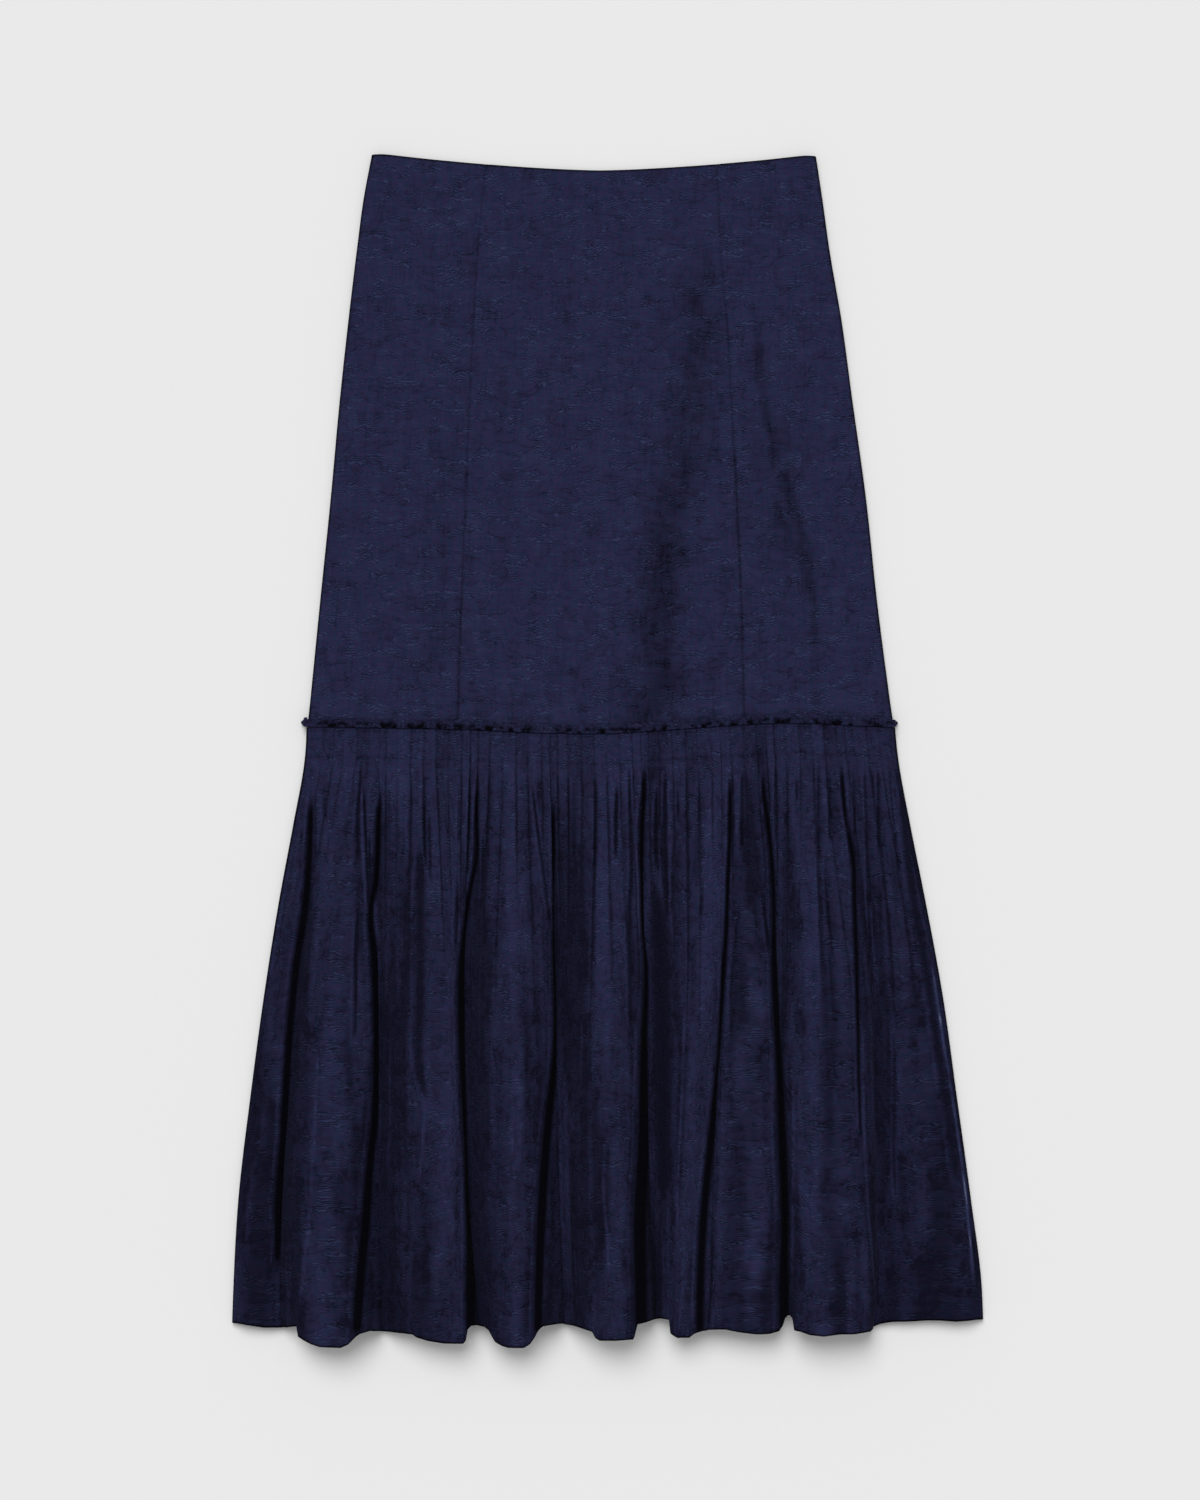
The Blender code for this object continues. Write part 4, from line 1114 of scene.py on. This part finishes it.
# The x and y of the hem's edge, left to right, as the camera sees it on the ground: each fold ends
# in a corner or a curve
HEM = [
    (-300.8, -457.7), (-297.6, -459.3), (-284.8, -461.7), (-275.2, -463.3), (-256.0, -463.3),
    (-248.4, -462.5), (-247.6, -470.5), (-243.2, -473.7), (-236.8, -476.9), (-230.4, -478.9),
    (-214.4, -479.7), (-208.0, -476.9), (-204.8, -473.7), (-201.6, -470.1), (-198.4, -468.1),
    (-192.0, -466.1), (-179.2, -466.5), (-163.2, -468.1), (-156.0, -468.9), (-152.8, -471.3),
    (-144.0, -474.1), (-131.2, -476.1), (-116.0, -476.1), (-114.0, -473.7), (-112.8, -464.9),
    (-110.4, -462.1), (-102.4, -461.7), (-97.6, -462.9), (-94.4, -465.7), (-92.0, -470.9),
    (-89.6, -475.3), (-84.8, -478.1), (-80.0, -479.7), (-67.2, -479.7), (-62.4, -476.5),
    (-59.2, -472.1), (-56.0, -465.7), (-52.8, -462.5), (-44.8, -460.9), (-36.8, -460.1),
    (-27.2, -461.7), (-17.6, -464.9), (-12.0, -466.9), (-10.0, -471.7), (-6.4, -474.1),
    (6.4, -474.1), (20.0, -472.9), (21.6, -469.7), (22.8, -460.9), (28.8, -459.3), (36.8, -456.5),
    (44.8, -456.1), (49.6, -456.9), (50.8, -468.1), (56.0, -471.7), (64.8, -471.7), (68.8, -468.5),
    (75.2, -466.1), (83.2, -464.9), (94.4, -464.9), (105.6, -467.3), (118.4, -468.9),
    (129.6, -468.5), (136.8, -466.5), (139.2, -461.7), (140.4, -456.1), (142.4, -454.1),
    (147.2, -453.7), (148.8, -456.1), (150.0, -465.7), (155.2, -466.9), (161.6, -469.3),
    (172.8, -470.5), (185.6, -468.9), (198.4, -468.5), (208.8, -466.5), (211.2, -463.3),
    (217.6, -460.5), (227.2, -458.9), (243.2, -458.5), (256.0, -457.7), (265.6, -457.7),
    (278.4, -458.5), (288.0, -457.7), (300.8, -456.1),
]
HEM_DRAW = 16          # how fast the cloth above the hem forgets the hem's corners

# Down the flounce: how far the cloth opens between its creases, and its painted shade in all
OPEN_RISE = [
    Step(BAND_ROW, 0.0),
    Step(0.10, 2.2),
    Step(0.20, 3.0),
    Step(0.35, 2.4),
    Step(0.60, 1.2),
    Step(1.0, 0.6),
]
TONE_DOWN = [
    Step(0, 0.06),
    Step(BAND_ROW, 0.11),
    Step(0.14, 0.20),
    Step(0.3, 0.29),
    Step(0.6, 0.37),
    Step(1, 0.42),
]
VALLEY = 0.45          # scales the spread of the valleys: narrower than in the solid
SHOULDERS = (1.5, 3.5)         # how steeply a fold climbs on its left and on its right
TUCK_GAINS = (0.35, 1.5)       # each tuck's own height, how far down it reaches, and its tone
TUCK_REACHES = (0.14, 0.62)
TUCK_TONES = (-0.22, 0.22)
TUCKS_SHORT = 10       # the tucks this near the left side are shorter
TUCK_LINE = 0.56       # painted shade and half width, in tucks, of the line between two tucks
TUCK_LINE_HALF = 0.10
TUCK_SHADE = 0.18      # painted shade on a tuck's left side
LINE_FADE = 20.0       # length over which a line fades in or out
CREASE_HIGHLIGHT_HALF = 0.9              # half width of the painted highlight beside a crease
CREASE_PRESS = 0.8     # share of the other relief that a crease presses flat
CREASE_HALO = 0.12     # painted soft shade about it, and the painted highlight on its left edge
CREASE_PALE = 0.35
SHADE_TONE = 0.85      # tone and depth of SHADES at a strength of 1
SHADE_PRESS = 1.2
STREAK = 0.8           # depth of the long soft streaks, and how uneven they make the tone
STREAK_TONE = 0.85
STREAK_SHADE = 0.3
PALEST = -0.15         # limits of the tone between the creases
SHADIEST = 0.64
RAISED_EDGE_RISE = 0.4         # how far a raised edge with a painted highlight stands up
FLOUNCE_PUCKER = 1.2   # its crinkles against the gores', and the height of its slow waves
FLOUNCE_WAVES = 1.1
SEAM_ROUND = 0.4       # share of the rounding under the joining seam
HEM_TURNED = 32.0      # depth of the turned-up hem, and its extra thickness
HEM_THICK = 0.35
BAND_STITCHES = (0.006, 0.050)         # shares of the length, which is then taken as one number
STITCHED_LENGTH = 470
BAND_STITCH_TONE = 0.14
HEM_STITCH_TONE = 0.1
STITCH_PRESS = 0.45    # depth and half width of a row of stitches
STITCH_REACH = 1.1
SEAM_DARK = (0.2, 0.9)         # painted shade and its reach at the joining seam, the hem and the sides
HEM_DARK = (0.95, 1.1)
SIDE_DARK = (0.9, 1.5)
PAST_TURN = 0.1        # cloth between two columns in the turn at a side, in tucks


def down_steps(table, v):
    """A table of steps read at each row, straight between them."""
    return np.interp(v, column(table, "share"), column(table, "height"))[:, None]


def near_lines(table, x, y):
    """For each line: its strength, how near each point is, exp(-|off / half| ** 3), how near to its
    left edge, bell(off the left edge), and the soft shade about it, bell(off, but wider)."""
    for line in table:
        heights, places, halves = np.array(line.points, float).T
        start = ease((heights[0] + 6 + 4 * halves[0] - y) / (LINE_FADE + 4 * halves[0]))
        half = np.interp(-y, -heights, halves) * (0.4 + 0.6 * start)
        off = x - smooth(y, heights, places)
        fade = start * ease((y - heights[-1] + 4) / LINE_FADE)
        # how near the painted highlight beside the line's left edge
        left_edge = bell((off + half) / CREASE_HIGHLIGHT_HALF + 1.3, 1)
        about = bell(off - half, 1.5 * half + 3)
        yield line.strength, fade * np.exp(-np.abs(off / half) ** 3), fade * left_edge, fade * about


def flounce_rows():
    """Rows of the flounce as shares of its length, close together at the band and the hem."""
    parts = [np.linspace(part.start, part.end, part.rows, endpoint=False) for part in FLOUNCE_STRETCHES]
    return np.concatenate(parts + [HEM_ROWS])


def tucks(v, s):
    """Height and tone of the tucks: a tooth across each, by its own gain, fading at its own reach."""
    chance = np.random.default_rng(5)
    tuck = np.floor(s).astype(int)
    gain = chance.uniform(*TUCK_GAINS, TUCKS + 1)[tuck]
    reach = chance.uniform(*TUCK_REACHES, TUCKS + 1)[tuck] * (0.25 + 0.75 * ease(tuck / TUCKS_SHORT))
    nap = chance.uniform(*TUCK_TONES, TUCKS + 1)[tuck]
    across = s - tuck
    tooth = np.interp(across, column(TOOTH, "share"), column(TOOTH, "height")) * gain
    lasting = down_steps(TUCK_DOWN, v) * (0.35 + 0.65 * ease((reach - v[:, None]) / 0.3))
    fading = ease((reach - v[:, None]) / 0.25)
    opened = 0.35 + 0.65 * ease((v[:, None] - BAND_ROW) / 0.04)
    line = bell(np.minimum(across, 1 - across), TUCK_LINE_HALF)
    # painted shade in the line between two tucks and on each tuck's left side, over its random tone
    tone = fading * (nap + gain * opened * (TUCK_LINE * line + TUCK_SHADE * (1 - across) ** 2))
    return lasting * tooth, tone


def add_lines(relief, tone, v, s, x, y, from_side):
    """Relief and tone with the listed lines: the strongest crease, plus every shade and light."""
    crease = np.zeros_like(x)
    pale = np.zeros_like(x)
    shaded = np.zeros_like(x)
    # painted shade in and softly about each crease, with a painted highlight by its left edge
    for strength, near, left_edge, about in near_lines(CREASES, x, y):
        shaded = np.maximum(shaded, CREASE_HALO * strength * about)
        crease = np.maximum(crease, strength * near)
        pale = np.maximum(pale, CREASE_PALE * strength * left_edge)
    relief = relief + down_steps(OPEN_RISE, v) * (1 - crease) * ease(from_side / 9)
    relief *= 1 - CREASE_PRESS * crease
    across = s * TUCK_SEEN + 0 * y
    streak = 0.5 * hills(across, y, 9, 150, 71) + 0.5 * hills(across, y, 3.5, 60, 72)
    # painted shade over the flounce, growing towards the hem and uneven in long streaks
    tone = tone + down_steps(TONE_DOWN, v) * (1 + STREAK_TONE * streak) + shaded
    for strength, near, _, _ in near_lines(SHADES, x, y):
        tone += SHADE_TONE * strength * near * (1 + STREAK_SHADE * streak)
        relief -= SHADE_PRESS * strength * near
    for strength, near, _, _ in near_lines(LIT, x, y):
        tone -= strength * near
        relief += strength * near
    relief -= STREAK * streak * ease((v - 0.1) / 0.2)[:, None]
    return relief, np.maximum(np.clip(tone, PALEST, SHADIEST) - pale * (1 - crease), crease)


def add_stitches(relief, tone, v, s, x, y, length):
    """Relief and tone with the band's two rows of stitches, the turned hem, its stitches and crinkles."""
    below_seam = -length * v[:, None]
    above_hem = -length * (1 - v[:, None])
    for share in BAND_STITCHES:
        near = bell((v[:, None] - share) * STITCHED_LENGTH, STITCH_REACH)
        relief = relief - STITCH_PRESS * near
        tone = tone + BAND_STITCH_TONE * near
    near = bell(above_hem - HEM_TURNED, STITCH_REACH)
    relief += HEM_THICK * ease((HEM_TURNED - above_hem) / 1.5) - STITCH_PRESS * near
    tone += HEM_STITCH_TONE * near
    relief += PUCKER * FLOUNCE_PUCKER * crinkles(x, y, 41) * ease(below_seam / 20)
    relief += FLOUNCE_WAVES * hills(s, v[:, None] + 0 * s, 1.7, 0.35, 43) * ease(below_seam / 120)
    relief -= SEAM_ROUND * rounded(below_seam) + rounded(above_hem)
    # painted shade along the joining seam and the hem's edge
    for edge, (darkness, half) in ((below_seam, SEAM_DARK), (above_hem, HEM_DARK)):
        tone += darkness * bell(edge, half)
    return relief, tone


def flounce_front():
    """The front flounce: the solid's folds with narrower valleys, and tucks, creases and seams."""
    v = flounce_rows()
    s = np.arange(TUCKS * TUCK_COLUMNS + 1) / TUCK_COLUMNS
    x, seam, hem, height = flounce_plan(v, s, VALLEY, SHOULDERS)
    plain_x, _, plain_hem, _ = flounce_plan(v, s, 1.0, None)
    hem = np.interp(x[-1], plain_x[-1], plain_hem)
    y = seam + (hem - seam) * v[:, None]
    rest = WALL + GAP + lift(y - seam)

    # The hem's corners, moved from the ground to the height of each fold's crest, and how far the
    # inner wall keeps back from them so that it doesn't show
    nearer = 1 - (rest[-1] + height[-1] + WALL) * MM / CAMERA_HEIGHT
    corners = nearer * np.interp(x[-1] / nearer, *np.array(HEM).T)
    y += (corners - hem) * v[:, None] ** HEM_DRAW
    beside = np.pad(corners, TUCK_COLUMNS // 2, "edge")
    beside = np.lib.stride_tricks.sliding_window_view(beside, TUCK_COLUMNS + 1)
    tucked_in = (beside.max(1) - corners) * v[:, None] ** HEM_DRAW

    from_side = np.minimum(x - x[:, :1], x[:, -1:] - x)
    inner = turn_down(np.stack([x, y, rest + height + swell(from_side)], -1), rest, True, True)
    relief, tone = tucks(v, s)
    relief, tone = add_lines(relief, tone, v, s, x, y, from_side)
    relief, tone = add_stitches(relief, tone, v, s, x, y, corners - seam)

    # The same over the turns at the sides, with painted shade along the side edges and painted
    # highlights on the raised edges
    padding = ((0, 0), (TURN_PARTS, TURN_PARTS))
    outer = outer_wall(inner, True, True)
    inner[..., 1] += np.pad(tucked_in, padding, "edge")
    relief = np.pad(relief * ease(from_side / 3), padding)
    tone = np.pad(tone, padding, "edge")
    at = outer[..., 0], outer[..., 1]
    from_edge = np.minimum(at[0] - side_x(FLOUNCE, at[1], "left"), side_x(FLOUNCE, at[1], "right") - at[0])
    # painted shade along the side edges, where the cloth turns down
    tone = np.maximum(tone, SIDE_DARK[0] * bell(from_edge, SIDE_DARK[1]))
    # painted highlights along the raised edges, unevenly bright
    for strength, near, _, _ in near_lines(RAISED_EDGE_HIGHLIGHTS, *at):
        highlight_unevenness = 0.6 + 0.4 * hills(0 * at[0], at[1], 1, 6, int(1000 * strength))
        relief += RAISED_EDGE_RISE * np.minimum(strength, 1) * near
        tone -= strength * highlight_unevenness * near
    outer[..., 2] += relief

    # The place on the cloth: a tuck hides its last part, so a quad's right edge has its own place
    tuck = np.floor(s)
    seen = 0.67 + 0.33 * ease((v - BAND_ROW) / (MID_ROW - BAND_ROW))[:, None]
    along = tuck + (s - tuck) * seen
    along_right = np.where(s == tuck, tuck - 1 + seen, along)
    past = (np.arange(TURN_PARTS) - TURN_PARTS) * PAST_TURN
    down = np.pad(y, padding, "edge")[..., None]

    def on_cloth(places):
        wide = np.concatenate([past + 0 * v[:, None], places, TUCKS - past[::-1] + 0 * v[:, None]], 1)
        return np.concatenate([wide[..., None] * TUCK_CLOTH, down], -1)

    return closed_cloth("front_flounce", outer, inner, on_cloth(along), tone, on_cloth(along_right), skip=6)


flounce_cloth = cloth_finish("gathered_navy_jacquard", 0.9)
sew_on(flounce_front(), "flounce_front", flounce_cloth)


# --- Back flounce: the same panel, lying on the ground ---------------------------------------------
# It is flat on the ground between low waves that rise under the front's folds. Its outer side is
# the underside, where the tucks show as pressed lines.
BACK_FOLD = 0.36       # height of its waves as a share of the front's, where they are over BACK_FLAT
BACK_FLAT = 0.4
BACK_HEM = -453.0
BACK_COLUMNS = 6       # columns to a tuck
BACK_TUCK = 0.6        # depth, half width and painted shade of a tuck's pressed line
BACK_TUCK_HALF = 1.2
BACK_TUCK_TONE = 0.6
BACK_PAST = 0.3        # cloth past the outermost tucks, in tucks


def flounce_back():
    """The back flounce: the solid's low waves, with pressed tuck lines in its underside."""
    v = flounce_rows()
    s = np.arange(TUCKS * BACK_COLUMNS + 1) / BACK_COLUMNS
    x, seam, hem, height = flounce_plan(v, s, 1.0, None)
    y = seam + (np.maximum(hem + BACK_SHORTER, BACK_HEM) - seam) * v[:, None]
    tallest = height.max(1, keepdims=True) + GAP
    wave = np.maximum(height / tallest - BACK_FLAT, 0) / (1 - BACK_FLAT)
    z = lift(y - seam) + BACK_FOLD * tallest * wave**2
    past_turn = WALL + TURN - BACK_INSET
    x = np.concatenate([x[:, :1] - past_turn, x, x[:, -1:] + past_turn], 1)
    y, z = (np.pad(part, ((0, 0), (1, 1)), "edge") for part in (y, z))
    strength = down_steps(TUCK_DOWN, v) / column(TUCK_DOWN, "height").max()
    line = np.pad(bell((s - np.round(s)) * TUCK_SEEN, BACK_TUCK_HALF) * strength, ((0, 0), (1, 1)))
    under = np.stack([x, y, z + BACK_TUCK * line], -1)
    above = np.stack([x, y, z + WALL], -1)
    place = np.concatenate([[-BACK_PAST], s, [TUCKS + BACK_PAST]]) * TUCK_CLOTH
    on_cloth = np.stack([place + 0 * y, y], -1)
    # painted shade along the pressed tuck lines
    return closed_cloth("back_flounce", above, under, on_cloth, BACK_TUCK_TONE * line)


sew_on(flounce_back(), "flounce_back", cloth)


# --- Frill: a narrow gathered strip sewn into the joining seam, front and back ---------------------
# A strip cut twice as wide is folded along its length and gathered, so its free edge curls in
# small uneven loops. The front one lies up over the gores, and the back one is pressed flat.
FRILL_WIDTH = 6.6
FRILL_WALL = 1.0
FRILL_WAVES_FRONT = 73
FRILL_WAVES_BACK = 50
FRILL_WAVE = 1.25      # half height of the front's loops, and how uneven they are
FRILL_UNEVEN = 0.75
FRILL_SLIP = 2.4       # how far the loops come out of step, in radians
FRILL_PRESSED = 0.3    # half height of the back's
FRILL_SCALLOP = 0.7    # how far the free edge goes in and out
FRILL_PAST_LEFT = 4.5
FRILL_PAST_RIGHT = 2.5
FRILL_POINT = 3.5      # length over which a frill's end narrows
FRILL_TIP = 0.25       # its width at the very end, as a share
FRILL_DROP = 3.5       # length over which the front's ends drop off the gores
FRILL_PARTS = 12
FRILL_CURL = 1.5       # how far the loops lean along the frill
FRILL_THINNER = 0.55   # share by which the free edge is thinner
FRILL_CLOTH = (1.9, 1.3)       # cloth gathered into a millimetre along and up
FRILL_TONE = 0.08      # painted shade in all, more in the hollows, and in mottled patches
FRILL_HOLLOW = 0.12
FRILL_MOTTLE = 0.72


def frill_plan(waves):
    """X along a frill, its distance in from the frill's nearer end, and the angle of its waves."""
    left = UPPER[-1].left - FRILL_PAST_LEFT
    right = UPPER[-1].right + FRILL_PAST_RIGHT
    x = np.linspace(left, right, waves * FRILL_PARTS + 1)
    return x, np.minimum(x - left, right - x), 2 * np.pi * waves * (x - left) / (right - left)


def frill_y(x, from_end, above_seam):
    """Y of a frill's points: straight up from the seam, but narrowed to a blunt tip at both ends."""
    wide = FRILL_TIP + (1 - FRILL_TIP) * ease(from_end / FRILL_POINT)
    return seam_y(x) + GAP + FRILL_WIDTH / 2 + (above_seam - FRILL_WIDTH / 2) * wide


def frill_strip(name, x, y, z, thick, tone=None):
    """A frill's closed wall from its under side. The last row lies in the seam, where it can't lean."""
    under = np.stack([x, y, z], -1)
    on_cloth = np.stack([FRILL_CLOTH[0] * x[-1] + 0 * y, FRILL_CLOTH[1] * y], -1)
    return closed_cloth(name, under + [0, 0, 1] * thick[..., None], under, on_cloth, tone)


def frill_front():
    """The front frill: height follows 1 + sine, and the loops lean over along the frill."""
    x, from_end, angle = frill_plan(FRILL_WAVES_FRONT)
    angle = angle + FRILL_SLIP * hills(x, 0 * x, 13, 1, 61)
    uneven = 1 + FRILL_UNEVEN * hills(x, 0 * x, 5, 1, 62)
    on_gores = LIFT + 2 * (WALL + GAP) + swell(from_end - FRILL_PAST_LEFT - WALL - TURN)
    on_back_frill = FRILL_WALL + 2 * FRILL_PRESSED + GAP
    seat = on_back_frill + (on_gores - on_back_frill) * ease(from_end / FRILL_DROP)
    share = np.linspace(1, 0, 7)[:, None]
    grown = ease(from_end / FRILL_PAST_LEFT / 2)
    wave = FRILL_WAVE * share * grown * uneven * (1 + np.sin(angle))
    lean = FRILL_CURL * share**1.5 * grown * np.sin(2 * angle + 0.6)
    y = frill_y(x, from_end, share * (FRILL_WIDTH + FRILL_SCALLOP * uneven * np.cos(angle)))
    thick = FRILL_WALL * (1 - FRILL_THINNER * share**6)
    low = np.clip(1 - (wave / 2) ** 0.7, 0, 1)
    mottle = ease(0.37 + 1.2 * hills(x, y, 4.5, 3, 63) + 0.6 * hills(x, y, 1.6, 1.4, 64))
    mottle *= 1 - 0.75 * ease((share - 0.4) / 0.45)
    # painted shade over the frill, deeper in the hollows of its loops and in mottled patches
    tone = (FRILL_TONE + FRILL_HOLLOW * low + FRILL_MOTTLE * mottle) * ease(from_end / 3)
    return frill_strip("front_frill", x + lean, y, seat + wave, thick, tone)


def frill_back():
    """The back frill, pressed flat between the back and the ground."""
    x, from_end, angle = frill_plan(FRILL_WAVES_BACK)
    share = np.linspace(1, 0, 4)[:, None]
    y = frill_y(x, from_end, share * (FRILL_WIDTH + FRILL_SCALLOP * np.cos(angle)))
    thick = FRILL_WALL + FRILL_PRESSED * share * (1 + np.sin(angle))
    return frill_strip("back_frill", x + 0 * y, y, 0 * y, thick)


sew_on(frill_front(), "frill_front", cloth)
sew_on(frill_back(), "frill_back", cloth)


# --- Side zip: two woven tapes with a closed nylon coil, and its slider at the top ------------------
# It is stitched into the right side seam, so it lies between the layers with its coil upwards.
ZIP_BELOW_WAIST = 5.0
ZIP_FROM_SIDE = 5.5
ZIP_WIDTH = 11.0
ZIP_LENGTH = 130.0
ZIP_ROWS = 400
ZIP_TAPE = 1.0         # heights of the tape, the coil and the slider
ZIP_COIL = 1.3
ZIP_SLIDER = 1.6
ZIP_COIL_SIDES = (3.6, 7.4)
ZIP_COIL_COLUMNS = 9
ZIP_TAPE_COLUMNS = np.array([0, 0.2, 2.0, 3.3])
ZIP_EDGE = 0.25        # how much thinner the tape's edges are, and how far in
SLIDER_ENDS = (3.2, 10.2)      # below the zip's top
SLIDER_ROUND = 0.8
COIL_PITCH = 1.3
NAVY_TAPE = (0.012, 0.013, 0.034, 1)


def side_zip():
    """The zip: height is the tape's, or over the coil |sin| of the coil's pitch, or the slider's dome."""
    down = np.linspace(0, ZIP_LENGTH, ZIP_ROWS + 1)[:, None]
    coil = np.linspace(*ZIP_COIL_SIDES, ZIP_COIL_COLUMNS)
    across = np.concatenate([ZIP_TAPE_COLUMNS, coil, ZIP_WIDTH - ZIP_TAPE_COLUMNS[::-1]])
    top = waist_y(UPPER[0].right - ZIP_FROM_SIDE) - ZIP_BELOW_WAIST
    y = top - down + 0 * across
    x = side_x(UPPER, y, "right") - ZIP_FROM_SIDE - ZIP_WIDTH + across
    middle = sum(ZIP_COIL_SIDES) / 2
    coil_half = middle - ZIP_COIL_SIDES[0]
    dome = np.clip(1 - ((across - middle) / coil_half) ** 2, 0, 1)
    side = np.where(across < middle, 0, 0.5)
    tooth = np.abs(np.sin(np.pi * (down / COIL_PITCH + side))) ** 0.6
    height = ZIP_TAPE + (ZIP_COIL - ZIP_TAPE) * np.sqrt(dome) * (0.35 + 0.65 * tooth)
    on_slider = ease((down - SLIDER_ENDS[0]) / SLIDER_ROUND) * ease((SLIDER_ENDS[1] - down) / SLIDER_ROUND)
    height = height + (ZIP_SLIDER - height) * on_slider * ease(dome * 4)
    height = height - ZIP_EDGE * bell(np.minimum(across, ZIP_WIDTH - across), ZIP_EDGE)
    under = np.stack([x, y, WALL + GAP + 0 * y], -1)
    return closed_cloth("side_zip_closed", under + [0, 0, 1] * height[..., None], under, under[..., :2])


zip_finish = bpy.data.materials.new("navy_tape")
zip_finish.use_nodes = True
zip_tree = zip_finish.node_tree
zip_shader = zip_tree.nodes["Principled BSDF"]
zip_shader.inputs["Roughness"].default_value = 0.55
zip_shader.inputs["Specular IOR Level"].default_value = 0.2
zip_place = make_node(zip_tree, "UVMap", {}, uv_map="cloth").outputs[0]
threads = noise(zip_tree, vector_maths(zip_tree, "MULTIPLY", zip_place, (3000, 1000, 1000)), 1.2)
zip_tree.links.new(mixed(zip_tree, threads, NAVY_TAPE, SLATE), zip_shader.inputs["Base Color"])
sew_on(side_zip(), "side_zip", zip_finish)
